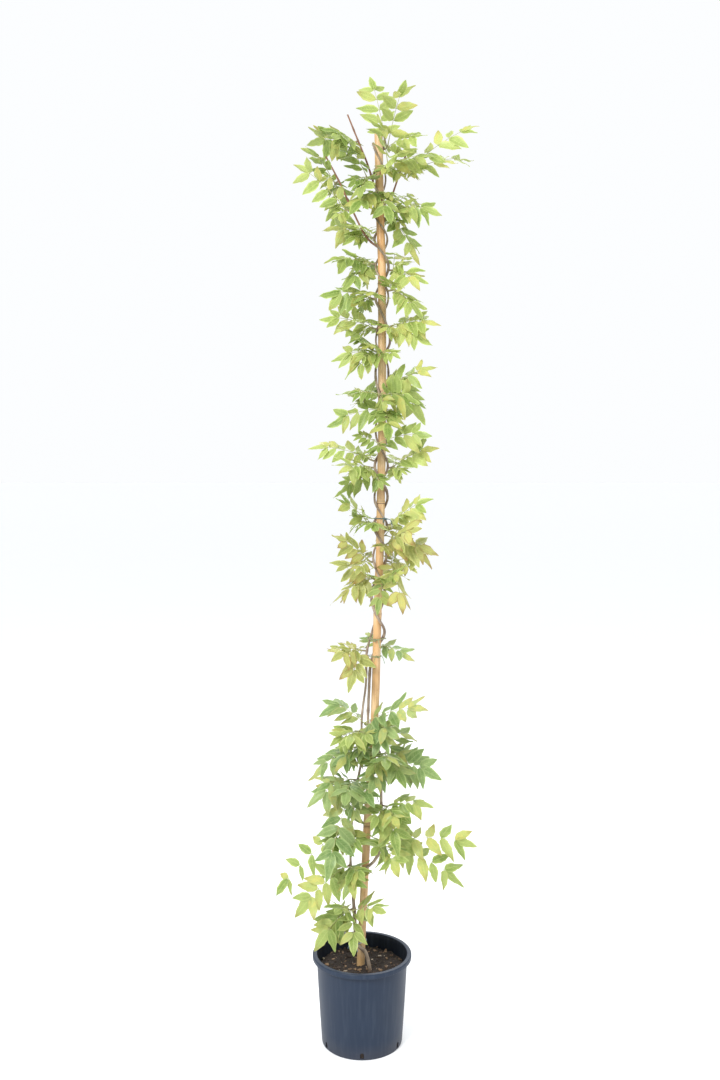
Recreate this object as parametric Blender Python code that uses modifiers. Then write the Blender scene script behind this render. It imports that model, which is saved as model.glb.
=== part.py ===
"""A wisteria trained up a bamboo cane in a round nursery pot."""

import math
import random

import bmesh
import bpy
from mathutils import Matrix, Vector
from mathutils.bvhtree import BVHTree

# Pot
POT_HEIGHT = 0.235
POT_RIM_RADIUS = 0.130
POT_WALL_TOP_RADIUS = 0.1193
POT_BASE_RADIUS = 0.1050
POT_WALL = 0.0025
POT_FLOOR = 0.0030
LIP_HEIGHT = 0.0115
POT_SEGMENTS = 36
DRAIN_SLOTS = 6
DRAIN_WIDTH = 0.010
DRAIN_HEIGHT = 0.020

# Soil
SOIL_TOP = 0.200
SOIL_GAP = 0.0006
SOIL_RINGS = (0.030, 0.055, 0.080, 0.100)
SOIL_SEGMENTS = 24
SOIL_ROUGHNESS = 0.0035
HOLE_GAP = 0.0006

# Bamboo cane: centre line as height and sideways offset, both in metres
CANE_RADIUS = 0.0107
CANE_SIDES = 8
CANE_FOOT = 0.040
CANE_TOP = 2.350
CANE_LINE = ((0.04, -0.010), (0.29, 0.000), (0.63, 0.016), (0.80, 0.030), (0.95, 0.036), (1.10, 0.039),
             (1.30, 0.046), (1.60, 0.051), (1.85, 0.051), (2.03, 0.050), (2.15, 0.045), (2.35, 0.041))
CANE_JOINTS = (0.33, 0.58, 0.85, 1.13, 1.42, 1.70, 1.97, 2.20)
CANE_JOINT_RISE = 0.0011
CANE_BORE_RADIUS = 0.0050
CANE_BORE_DEPTH = 0.060

# Twining stems: height, turns round the cane (whole at the front of it) and clearance from its skin
STEM_A = ((0.74, -0.30, 0.0100), (0.81, 0.00, 0.0012), (0.86, 0.22, 0.0012), (1.00, 0.34, 0.0010),
          (1.085, 0.75, 0.0050), (1.125, 1.00, 0.0012), (1.22, 1.45, 0.0020), (1.325, 2.00, 0.0010),
          (1.40, 2.55, 0.0020), (1.475, 3.00, 0.0030), (1.57, 3.60, 0.0012), (1.675, 4.00, 0.0010),
          (1.77, 4.35, 0.0012), (1.83, 4.75, 0.0060), (1.895, 5.00, 0.0012), (1.97, 5.45, 0.0010),
          (2.05, 6.00, 0.0010), (2.13, 6.60, 0.0015), (2.19, 7.00, 0.0012), (2.27, 7.45, 0.0010),
          (2.36, 7.80, 0.0010))
STEM_B = ((0.74, 0.25, 0.0135), (0.86, 0.25, 0.0190), (0.95, 0.25, 0.0120), (1.03, 0.28, 0.0120),
          (1.10, 0.42, 0.0015), (1.17, 0.70, 0.0012), (1.225, 0.97, 0.0012), (1.325, 1.50, 0.0010),
          (1.40, 2.05, 0.0010), (1.475, 2.50, 0.0040), (1.57, 3.10, 0.0010), (1.675, 3.50, 0.0010),
          (1.77, 3.85, 0.0010), (1.83, 4.25, 0.0010), (1.895, 4.50, 0.0010), (1.97, 4.95, 0.0010),
          (2.05, 5.50, 0.0030), (2.13, 6.10, 0.0010), (2.19, 6.50, 0.0010), (2.27, 6.95, 0.0010),
          (2.32, 7.20, 0.0010))
STEM_STEP = 0.042
TURN_STEP = 0.125
STEM_CLEAR = 0.0028
STEM_SIDES = {"t": 6, "a": 6, "b": 4, "s1": 4, "s2": 4, "s3": 4}
TRUNK_RADIUS = 0.0050
STEM_A_RADIUS = (0.0040, 0.0029)
STEM_B_RADIUS = (0.0033, 0.0023)
STUB_RADIUS = 0.0027
TRUNK = ((0.034, -0.030, 0.120), (0.023, -0.024, 0.190), (0.009, -0.019, 0.243), (-0.013, -0.013, 0.268),
         (-0.021, -0.003, 0.354), (-0.023, 0.000, 0.400))
TRUNK_TO_A = ((-0.023, 0.000, 0.400), (-0.018, -0.012, 0.435), (0.004, -0.020, 0.462), (0.036, -0.010, 0.490),
              (0.048, -0.004, 0.530), (0.050, -0.003, 0.630), (0.049, 0.002, 0.700))
TRUNK_TO_B = ((-0.023, 0.000, 0.400), (-0.030, 0.002, 0.470), (-0.028, 0.000, 0.560), (-0.021, 0.000, 0.640))
STUBS = (
    ("a", 2.215, ((0.012, -0.030, 2.265), (-0.010, -0.040, 2.315), (-0.036, -0.050, 2.375))),
    ("a", 2.150, ((0.094, 0.022, 2.250), (0.120, 0.036, 2.328))),
    ("a", 2.058, ((0.010, -0.026, 2.085), (-0.025, -0.030, 2.150), (-0.058, -0.032, 2.220),
                  (-0.090, -0.040, 2.277))),
)

# Ties: name, height, stems held and cord radius
TIES = (
    ("tie_trunk", 0.268, "t", 0.0012),
    ("tie_low", 0.660, "", 0.0014),
    ("tie_middle_lower", 1.022, "ab", 0.0010),
    ("tie_middle_upper", 1.066, "ab", 0.0018),
    ("tie_high", 1.378, "ab", 0.0012),
)
TIE_GAP = 0.0008
TIE_SLACK = 0.0018
TIE_POINTS = 12

# Leaves
BLADE = 0.0008
RIB_WIDTH = 0.0022
LEAFLET_ASPECT = 0.42
LEAFLET_ROOT = 0.0042
LEAFLET_LEAN = 66.0
WIDEST_AT = 0.42
PETIOLE_SHARE = 0.17
SPUR_RADIUS = 0.0022
SPUR_SIDES = 5
SPUR_GAP = 0.0005
CLEARANCE = 0.0016

# Sprays: name, colour, stem, height, then each leaf as tip in centimetres, leaflet pairs and leaflet length
SPRAYS = (
    ("crown", "light", "a", 2.355, ((9, -9, 245, 3, 5.8), (2, 6, 251, 4, 5.4), (16, -5, 238, 3, 5.0))),
    ("top_front", "light", "b", 2.28, ((-2, -6, 236, 3, 5.0), (9, -8, 228, 3, 5.2), (19, -1, 230, 3, 5.6))),
    ("front_226", "mid", "a", 2.26, ((-3, -8, 228, 3, 5.4), (6, -10, 221, 3, 5.2))),
    ("stub_right", "light", "s2", 0.62, ((29, -3, 236, 4, 5.6), (29, 3, 230, 4, 5.4))),
    ("stub_left", "mid", "s1", 0.20, ((-14, 3, 233, 4, 5.8), (-10, -6, 225, 4, 5.6))),
    ("stub_low_tip", "light", "s3", 0.48, ((-17, -4, 226, 3, 5.2),)),
    ("front_221", "mid", "a", 2.22, ((-4, -9, 214, 3, 5.2), (6, -11, 213, 3, 5.4))),
    ("right_219", "mid", "a", 2.19, ((20, -3, 214, 4, 5.4), (14, 10, 222, 3, 5.0))),
    ("front_214", "light", "a", 2.14, ((8, -8, 206, 3, 5.8), (-9, -5, 210, 3, 5.4))),
    ("stub_low_base", "mid", "s3", 0.16, ((-11, -7, 221, 3, 5.6), (-5, 11, 212, 3, 5.4))),
    ("right_208", "mid", "a", 2.11, ((13, -4, 202, 3, 5.4),)),
    ("left_204", "mid", "b", 2.04, ((-8, -4, 202, 3, 5.6), (-3, -7, 195, 3, 5.0), (-2, 11, 203, 3, 5.2))),
    ("right_201", "light", "a", 2.01, ((13, -6, 196, 3, 5.4), (9, 12, 205, 2, 5.0))),
    ("low_198", "mid", "a", 1.98, ((-8, -3, 194, 3, 5.6), (2, -9, 193, 3, 5.4))),
    ("right_197", "light", "b", 1.94, ((12, -5, 191, 3, 5.4),)),
    ("left_190", "light", "b", 1.90, ((-11, 2, 189, 3, 5.2), (1, -9, 184, 3, 5.2))),
    ("right_184", "light", "a", 1.85, ((18, -5, 188, 4, 5.4), (16, -7, 182, 3, 5.2))),
    ("left_184", "mid", "b", 1.84, ((-3, -6, 184, 3, 5.0),)),
    ("left_181", "light", "b", 1.79, ((-5, -2, 180, 3, 5.4), (-1, -5, 177, 2, 4.8))),
    ("right_172", "mid", "a", 1.72, ((19, -1, 176, 3, 5.4), (15, -8, 167, 3, 5.8))),
    ("left_172", "mid", "b", 1.73, ((-3, -6, 170, 3, 5.4), (-3, 10, 170, 3, 5.2))),
    ("right_167", "mid", "b", 1.69, ((16, -4, 162, 3, 5.6),)),
    ("left_165", "mid", "a", 1.65, ((8, -9, 165, 3, 5.2), (-9, -3, 163, 3, 5.6))),
    ("right_161", "mid", "b", 1.61, ((18, -3, 159, 3, 5.0),)),
    ("left_158", "light", "a", 1.58, ((-14, 1, 156, 4, 5.2),)),
    ("left_154", "light", "a", 1.54, ((-6, -7, 150, 3, 5.6),)),
    ("right_151", "light", "b", 1.51, ((19, -3, 156, 3, 5.6), (10, 10, 153, 2, 5.6))),
    ("left_146", "mid", "a", 1.46, ((-3, -6, 147, 3, 5.0), (0, 11, 144, 3, 5.0))),
    ("right_144", "light", "b", 1.42, ((16, -3, 142, 3, 5.4),)),
    ("left_141", "mid", "a", 1.41, ((-3, -2, 142, 2, 4.8), (3, -7, 136, 2, 5.0))),
    ("right_136", "olive", "a", 1.37, ((19, -3, 129, 3, 5.8), (15, -7, 137, 3, 5.4))),
    ("right_131", "olive", "b", 1.33, ((12, -9, 127, 3, 5.4),)),
    ("left_130", "olive", "b", 1.30, ((-6, -4, 133, 3, 5.2),)),
    ("left_127", "olive", "a", 1.27, ((-7, 3, 126, 3, 5.2), (-2, -8, 121, 3, 5.6))),
    ("front_121", "olive", "a", 1.22, ((-1, -9, 118, 3, 5.4), (7, 10, 121, 2, 4.8))),
    ("front_117", "mid", "b", 1.17, ((4, -6, 115, 2, 3.8),)),
    ("left_104", "olive", "b", 1.03, ((-5, -5, 103, 2, 5.0), (0, -7, 94, 3, 5.4))),
    ("right_102", "blue", "a", 1.02, ((9, -6, 100, 2, 4.6),)),
    ("right_90", "blue", "a", 0.89, ((19, -4, 91, 4, 6.0), (10, -10, 87, 3, 5.8))),
    ("left_87", "light", "b", 0.83, ((-3, -9, 82, 3, 5.4),)),
    ("right_81", "dark", "a", 0.81, ((6, -10, 77, 3, 5.8), (13, 8, 82, 2, 5.4))),
    ("left_77", "blue", "b", 0.78, ((-14, -4, 71, 3, 5.8),)),
    ("right_73", "blue", "a", 0.75, ((20, -4, 70, 4, 6.2), (11, 10, 72, 2, 5.4))),
    ("left_71", "blue", "b", 0.71, ((-12, -3, 65, 4, 5.8), (-4, -10, 68, 3, 5.8))),
    ("center_62", "blue", "b", 0.64, ((-6, -12, 47, 4, 6.2),)),
    ("left_58", "mid", "b", 0.57, ((-23, 2, 38, 4, 5.0),)),
    ("right_62", "mid", "r", 0.61, ((16, -4, 64, 3, 5.4), (9, -9, 55, 3, 5.8))),
    ("right_54", "mid", "r", 0.545, ((30, -2, 53, 4, 5.8), (26, -7, 43, 4, 6.0), (13, -9, 54, 3, 5.4))),
    ("left_48", "mid", "l", 0.50, ((-18, -5, 36, 4, 5.8), (2, -9, 38, 3, 5.0))),
    ("left_40", "mid", "t", 0.40, ((-12, -8, 28, 3, 5.8),)),
    ("base_37", "light", "t", 0.355, ((-3, -8, 30, 2, 5.0),)),
)
ARCH = 0.15
TIP_FALL = 0.06
DROOP = (8.0, 16.0)
ROLL = (28.0, 34.0)
SPUR_LENGTH = 0.016
STEM_WINDOW = 0.060
SHIFTS = tuple(sorted(
    ((turn, lift) for turn in (0, 8, -8, 16, -16, 25, -25, 36, -36, 50, -50)
     for lift in (0.0, 0.015, -0.015, 0.03, -0.03, 0.05, -0.05)),
    key=lambda shift: abs(shift[0]) / 12 + abs(shift[1]) / 0.02))

SKINS = {
    "pot_plastic": ((0.060, 0.080, 0.105), 0.45),
    "soil": ((0.050, 0.034, 0.024), 0.95),
    "bamboo": ((0.560, 0.360, 0.170), 0.55),
    "bark": ((0.130, 0.085, 0.060), 0.80),
    "cord": ((0.110, 0.140, 0.125), 0.70),
    "leaf_light": ((0.330, 0.440, 0.110), 0.50),
    "leaf_mid": ((0.140, 0.260, 0.070), 0.50),
    "leaf_dark": ((0.060, 0.130, 0.045), 0.50),
    "leaf_blue": ((0.120, 0.240, 0.130), 0.50),
    "leaf_olive": ((0.260, 0.280, 0.070), 0.55),
}


def skin(name):
    """Material of that name, made the first time it is asked for."""
    found = bpy.data.materials.get(name)
    if found:
        return found
    colour, roughness = SKINS[name]
    made = bpy.data.materials.new(name)
    made.use_nodes = True
    shader = made.node_tree.nodes["Principled BSDF"]
    shader.inputs["Base Color"].default_value = (*colour, 1.0)
    shader.inputs["Roughness"].default_value = roughness
    made.diffuse_color = (*colour, 1.0)
    return made


def start():
    """Empty scene with one collection for the parts and one for the cutters."""
    for thing in list(bpy.data.objects):
        bpy.data.objects.remove(thing, do_unlink=True)
    scene = bpy.context.scene
    parts = bpy.data.collections.new("wisteria_in_pot")
    cutters = bpy.data.collections.new("cutters")
    scene.collection.children.link(parts)
    scene.collection.children.link(cutters)
    return parts, cutters


def put(collection, name, mesh, material):
    """Object for the mesh, in the collection."""
    thing = bpy.data.objects.new(name, mesh)
    collection.objects.link(thing)
    if material:
        mesh.materials.clear()
        mesh.materials.append(skin(material))
    return thing


def solid_mesh(thing):
    """Mesh of the object with its modifiers applied."""
    bpy.context.view_layer.update()
    seen = thing.evaluated_get(bpy.context.evaluated_depsgraph_get())
    mesh = bpy.data.meshes.new_from_object(seen)
    mesh.transform(thing.matrix_world)
    return mesh


def weld(mesh, distance=0.00002):
    """Joins doubled points and turns the faces outward."""
    work = bmesh.new()
    work.from_mesh(mesh)
    bmesh.ops.remove_doubles(work, verts=work.verts, dist=distance)
    bmesh.ops.recalc_face_normals(work, faces=work.faces)
    work.to_mesh(mesh)
    work.free()


def turned(collection, name, profile, material, segments):
    """Body turned about the upright axis from a closed profile of radius and height."""
    mesh = bpy.data.meshes.new(name)
    points = [(radius, 0.0, height) for radius, height in profile]
    count = len(points)
    mesh.from_pydata(points, [(i, (i + 1) % count) for i in range(count)], [])
    thing = put(collection, name, mesh, material)
    screw = thing.modifiers.new("turn", "SCREW")
    screw.steps = segments
    screw.render_steps = segments
    screw.use_merge_vertices = True
    screw.merge_threshold = 0.0001
    screw.use_normal_calculate = True
    body = solid_mesh(thing)
    bpy.data.objects.remove(thing, do_unlink=True)
    weld(body)
    return put(collection, name, body, material)


def tube(collection, name, points, radii, sides, material, closed=False):
    """Round rod along the points, with a radius at each."""
    curve = bpy.data.curves.new(name, "CURVE")
    curve.dimensions = "3D"
    curve.bevel_depth = 1.0
    curve.bevel_resolution = (sides - 4) // 2
    curve.use_fill_caps = True
    line = curve.splines.new("POLY")
    line.points.add(len(points) - 1)
    for slot, place, radius in zip(line.points, points, radii):
        slot.co = (*place, 1.0)
        slot.radius = radius
    line.use_cyclic_u = closed
    thing = bpy.data.objects.new(name, curve)
    collection.objects.link(thing)
    body = solid_mesh(thing)
    bpy.data.objects.remove(thing, do_unlink=True)
    weld(body)
    return put(collection, name, body, material)


def apply_boolean(thing, operation, tool=None, tools=None, solver="EXACT"):
    """Boolean of the object with one tool or a collection of them, applied."""
    cut = thing.modifiers.new("boolean", "BOOLEAN")
    cut.operation = operation
    cut.solver = solver
    if tools:
        cut.operand_type = "COLLECTION"
        cut.collection = tools
    else:
        cut.object = tool
    body = solid_mesh(thing)
    thing.modifiers.clear()
    old = thing.data
    material = old.materials[0] if old.materials else None
    thing.data = body
    body.materials.clear()
    if material:
        body.materials.append(material)
    for face in body.polygons:
        face.material_index = 0
    return thing


def as_cutter(thing):
    """Hides a cutter from the render and draws it as wire."""
    thing.hide_render = True
    thing.display_type = "WIRE"
    return thing


def fuse(parts, name, things, material):
    """One body from several that run into each other."""
    first, rest = things[0], things[1:]
    if rest:
        group = bpy.data.collections.new(name + "_joined")
        bpy.context.scene.collection.children.link(group)
        for thing in rest:
            for old in list(thing.users_collection):
                old.objects.unlink(thing)
            group.objects.link(thing)
        apply_boolean(first, "UNION", tools=group, solver="MANIFOLD")
        for thing in rest:
            bpy.data.objects.remove(thing, do_unlink=True)
        bpy.data.collections.remove(group)
    weld(first.data, 0.000005)
    first.name = name
    first.data.name = name
    return first


def tree_of(thing):
    """Search tree over the faces of a body."""
    mesh = thing.data
    points = [thing.matrix_world @ vertex.co for vertex in mesh.vertices]
    return BVHTree.FromPolygons(points, [tuple(face.vertices) for face in mesh.polygons])


def cane_x(height):
    """Sideways place of the centre of the cane at a height."""
    line = CANE_LINE
    if height <= line[0][0]:
        return line[0][1]
    for (low, left), (high, right) in zip(line, line[1:]):
        if height <= high:
            return left + (right - left) * (height - low) / (high - low)
    return line[-1][1]


def smooth_value(rows, column, height):
    """Value of a column at a height, eased between the rows."""
    if height <= rows[0][0]:
        return rows[0][column]
    for index in range(len(rows) - 1):
        low, high = rows[index], rows[index + 1]
        if height <= high[0]:
            before = rows[max(index - 1, 0)]
            after = rows[min(index + 2, len(rows) - 1)]
            span = high[0] - low[0]
            share = (height - low[0]) / span
            slope_low = (high[column] - before[column]) / max(high[0] - before[0], 1e-6) * span
            slope_high = (after[column] - low[column]) / max(after[0] - low[0], 1e-6) * span
            a = 2 * share ** 3 - 3 * share ** 2 + 1
            b = share ** 3 - 2 * share ** 2 + share
            c = share ** 3 - share ** 2
            return a * low[column] + b * slope_low + (1 - a) * high[column] + c * slope_high
    return rows[-1][column]


def stem_radius(stem, height):
    """Radius of a twining stem at a height."""
    rows, (foot, tip) = (STEM_A, STEM_A_RADIUS) if stem == "a" else (STEM_B, STEM_B_RADIUS)
    share = (height - rows[0][0]) / (rows[-1][0] - rows[0][0])
    return foot + (tip - foot) * min(max(share, 0.0), 1.0)


def stem_point(stem, height):
    """Centre of a twining stem at a height."""
    rows = STEM_A if stem == "a" else STEM_B
    turns = smooth_value(rows, 1, height)
    gap = max(smooth_value(rows, 2, height), STEM_CLEAR)
    angle = math.radians(270.0 - 360.0 * turns)
    reach = CANE_RADIUS + stem_radius(stem, height) + gap
    return Vector((cane_x(height) + reach * math.cos(angle), reach * math.sin(angle), height))


def smooth_line(points, step):
    """Points at about even steps on a smooth line through the given ones."""
    places = [Vector(point) for point in points]
    line = [places[0]]
    for index in range(len(places) - 1):
        before = places[max(index - 1, 0)]
        here, there = places[index], places[index + 1]
        after = places[min(index + 2, len(places) - 1)]
        count = max(1, round((there - here).length / step))
        for number in range(1, count + 1):
            t = number / count
            line.append(0.5 * ((2 * here) + (there - before) * t
                               + (2 * before - 5 * here + 4 * there - after) * t * t
                               + (3 * here - before - 3 * there + after) * t ** 3))
    return line


def stem_heights(rows):
    """Heights up a twining stem, close enough that no straight between two of them nears the cane."""
    heights, height, top = [], rows[0][0], rows[-1][0]
    while height < top - 0.5 * STEM_STEP:
        step = STEM_STEP
        while abs(smooth_value(rows, 1, height + step) - smooth_value(rows, 1, height)) > TURN_STEP:
            step *= 0.9
        height = min(height + step, top)
        heights.append(height)
    return heights


def stem_lines():
    """Centre lines of the trunk, its two stems and the pruned stubs, each with its radii."""
    lines = {}
    trunk = smooth_line(TRUNK, STEM_STEP)
    lines["t"] = (trunk, [TRUNK_RADIUS] * len(trunk))
    for stem, low, rows, radius in (("a", TRUNK_TO_A, STEM_A, STEM_A_RADIUS[0] + 0.0003),
                                    ("b", TRUNK_TO_B, STEM_B, STEM_B_RADIUS[0] + 0.0003)):
        lower = smooth_line(low + (tuple(stem_point(stem, rows[0][0])),), STEM_STEP)
        heights = stem_heights(rows)
        upper = [stem_point(stem, height) for height in heights]
        lines[stem] = (lower + upper, [radius] * len(lower) + [stem_radius(stem, height) for height in heights])
    for index, (stem, height, points) in enumerate(STUBS):
        line = smooth_line((tuple(stem_point(stem, height)),) + points, STEM_STEP * 1.4)
        lines["s%d" % (index + 1)] = (line, [STUB_RADIUS] * len(line))
    return lines


def build_pot(parts, cutters):
    """Round nursery pot with a turned-down lip and drain slots low in its wall."""
    lip_inner = POT_RIM_RADIUS - 0.0022
    profile = (
        (POT_RIM_RADIUS - 0.0016, POT_HEIGHT), (POT_RIM_RADIUS, POT_HEIGHT - 0.0016),
        (POT_RIM_RADIUS, POT_HEIGHT - LIP_HEIGHT), (lip_inner, POT_HEIGHT - LIP_HEIGHT),
        (lip_inner, POT_HEIGHT - 0.0040), (POT_WALL_TOP_RADIUS + 0.0014, POT_HEIGHT - 0.0040),
        (POT_WALL_TOP_RADIUS, POT_HEIGHT - LIP_HEIGHT), (POT_BASE_RADIUS + 0.0012, 0.0050),
        (POT_BASE_RADIUS, 0.0), (0.0, 0.0), (0.0, POT_FLOOR),
        (POT_BASE_RADIUS + 0.0012 - POT_WALL, POT_FLOOR),
        (POT_WALL_TOP_RADIUS - POT_WALL, POT_HEIGHT - LIP_HEIGHT),
        (POT_WALL_TOP_RADIUS - 0.0006, POT_HEIGHT),
    )
    pot = turned(parts, "pot", profile, "pot_plastic", POT_SEGMENTS)
    for number in range(DRAIN_SLOTS):
        angle = math.radians(270 + 360 / DRAIN_SLOTS * number)
        slot = drain_cutter(cutters, "drain_%d" % number, angle)
        apply_boolean(pot, "DIFFERENCE", tool=slot)
        bpy.data.objects.remove(slot, do_unlink=True)
    weld(pot.data)
    return pot


def drain_cutter(cutters, name, angle):
    """Domed upright slot through the lower edge of the wall."""
    outline = [(-DRAIN_WIDTH / 2, 0.0045), (DRAIN_WIDTH / 2, 0.0045)]
    for step in range(7):
        turn = math.pi * step / 6
        outline.append((DRAIN_WIDTH / 2 * math.cos(turn),
                        DRAIN_HEIGHT - DRAIN_WIDTH / 2 + DRAIN_WIDTH / 2 * math.sin(turn)))
    near, far = POT_BASE_RADIUS - 0.008, POT_BASE_RADIUS + 0.010
    count = len(outline)
    points = [(near, x, z) for x, z in outline] + [(far, x, z) for x, z in outline]
    faces = [tuple(range(count))[::-1], tuple(range(count, 2 * count))]
    faces += [(i, (i + 1) % count, count + (i + 1) % count, count + i) for i in range(count)]
    mesh = bpy.data.meshes.new(name)
    mesh.from_pydata(points, [], faces)
    mesh.transform(Matrix.Rotation(angle, 4, "Z"))
    weld(mesh)
    return as_cutter(put(cutters, name, mesh, None))


def soil_height(x, y):
    """Height of the uneven top of the soil."""
    bumps = math.sin(61 * x + 1.3) * math.cos(53 * y + 0.4) + 0.6 * math.sin(118 * x - 97 * y)
    return SOIL_TOP + SOIL_ROUGHNESS * bumps / 1.6


def build_soil(parts, cutters, rods):
    """Potting soil up to a little under the rim, with plain holes for the cane and the trunk."""
    slope = (POT_WALL_TOP_RADIUS - POT_BASE_RADIUS - 0.0012) / (POT_HEIGHT - LIP_HEIGHT - 0.005)
    foot = POT_FLOOR + SOIL_GAP
    low_radius = POT_BASE_RADIUS + 0.0012 - POT_WALL - SOIL_GAP
    top_radius = low_radius + slope * (SOIL_TOP - SOIL_ROUGHNESS - foot)
    points = [(0.0, 0.0, soil_height(0.0, 0.0))]
    for radius in (*SOIL_RINGS, top_radius):
        for step in range(SOIL_SEGMENTS):
            angle = 2 * math.pi * step / SOIL_SEGMENTS
            x, y = radius * math.cos(angle), radius * math.sin(angle)
            height = soil_height(x, y) if radius < top_radius else SOIL_TOP - SOIL_ROUGHNESS
            points.append((x, y, height))
    last = len(points)
    for step in range(SOIL_SEGMENTS):
        angle = 2 * math.pi * step / SOIL_SEGMENTS
        points.append((low_radius * math.cos(angle), low_radius * math.sin(angle), foot))
    faces = [(0, 1 + i, 1 + (i + 1) % SOIL_SEGMENTS) for i in range(SOIL_SEGMENTS)]
    for ring in range(len(SOIL_RINGS) + 1):
        a, b = 1 + ring * SOIL_SEGMENTS, 1 + (ring + 1) * SOIL_SEGMENTS
        for i in range(SOIL_SEGMENTS):
            j = (i + 1) % SOIL_SEGMENTS
            faces.append((a + i, b + i, b + j))
            faces.append((a + i, b + j, a + j))
    faces.append(tuple(range(last, last + SOIL_SEGMENTS))[::-1])
    mesh = bpy.data.meshes.new("soil")
    mesh.from_pydata(points, [], faces)
    weld(mesh)
    soil = put(parts, "soil", mesh, "soil")
    for name, line, radii, sides in rods:
        foot, above = Vector(line[0]), Vector(line[1])
        deeper = [foot + (foot - above).normalized() * HOLE_GAP, *line[1:]]
        hole = tube(cutters, name, deeper, [radius + HOLE_GAP for radius in radii], sides, None)
        apply_boolean(soil, "DIFFERENCE", tool=as_cutter(hole))
        bpy.data.objects.remove(hole, do_unlink=True)
    weld(soil.data)
    return soil


def cane_stations():
    """Heights and radii along the cane, with a low ring at each joint."""
    rows = [(CANE_FOOT, CANE_RADIUS)]
    for joint in CANE_JOINTS:
        rows += [(joint - 0.006, CANE_RADIUS), (joint, CANE_RADIUS + CANE_JOINT_RISE)]
    rows += [(height, CANE_RADIUS) for height, _ in CANE_LINE[1:-1]]
    rows.append((CANE_TOP, CANE_RADIUS))
    return sorted(rows)


def build_cane(parts, cutters):
    """Bamboo cane with its joints and the open bore at its sawn top."""
    rows = cane_stations()
    line = [(cane_x(height), 0.0, height) for height, _ in rows]
    cane = tube(parts, "bamboo_cane", line, [radius for _, radius in rows], CANE_SIDES, "bamboo")
    bore_line = [(cane_x(CANE_TOP), 0.0, CANE_TOP - CANE_BORE_DEPTH), (cane_x(CANE_TOP), 0.0, CANE_TOP + 0.01)]
    bore = as_cutter(tube(cutters, "bore", bore_line, [CANE_BORE_RADIUS] * 2, 8, None))
    apply_boolean(cane, "DIFFERENCE", tool=bore)
    bpy.data.objects.remove(bore, do_unlink=True)
    weld(cane.data)
    return cane


def build_stems(parts, lines):
    """Trunk, its two twining stems and the pruned stubs, grown together."""
    rods = [tube(parts, "rod_" + name, line, radii, STEM_SIDES[name], "bark") for name, (line, radii) in lines.items()]
    return fuse(parts, "twining_stems", rods, "bark")


def place_at(line, radii, height):
    """Centre and radius of a rod where it passes a height."""
    for low, high, radius in zip(line, line[1:], radii):
        if low.z <= height <= high.z:
            return low.lerp(high, (height - low.z) / (high.z - low.z)).xy, radius
    return line[-1].xy, radii[-1]


def build_tie(parts, name, height, held, cord, lines):
    """Loop of cord drawn round the cane and the stems it holds."""
    rounds = [(Vector((cane_x(height), 0.0)), CANE_RADIUS)]
    for stem in held:
        centre, radius = place_at(*lines[stem], height)
        rounds.append((centre, radius + TIE_SLACK))
    points = []
    for step in range(TIE_POINTS):
        angle = 2 * math.pi * step / TIE_POINTS
        way = Vector((math.cos(angle), math.sin(angle)))
        centre, radius = max(rounds, key=lambda item: item[0].dot(way) + item[1])
        spot = centre + way * (radius + cord + TIE_GAP) / math.cos(math.pi / TIE_POINTS)
        points.append((spot.x, spot.y, height))
    return tube(parts, name, points, [cord] * TIE_POINTS, 4, "cord", closed=True)


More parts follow.
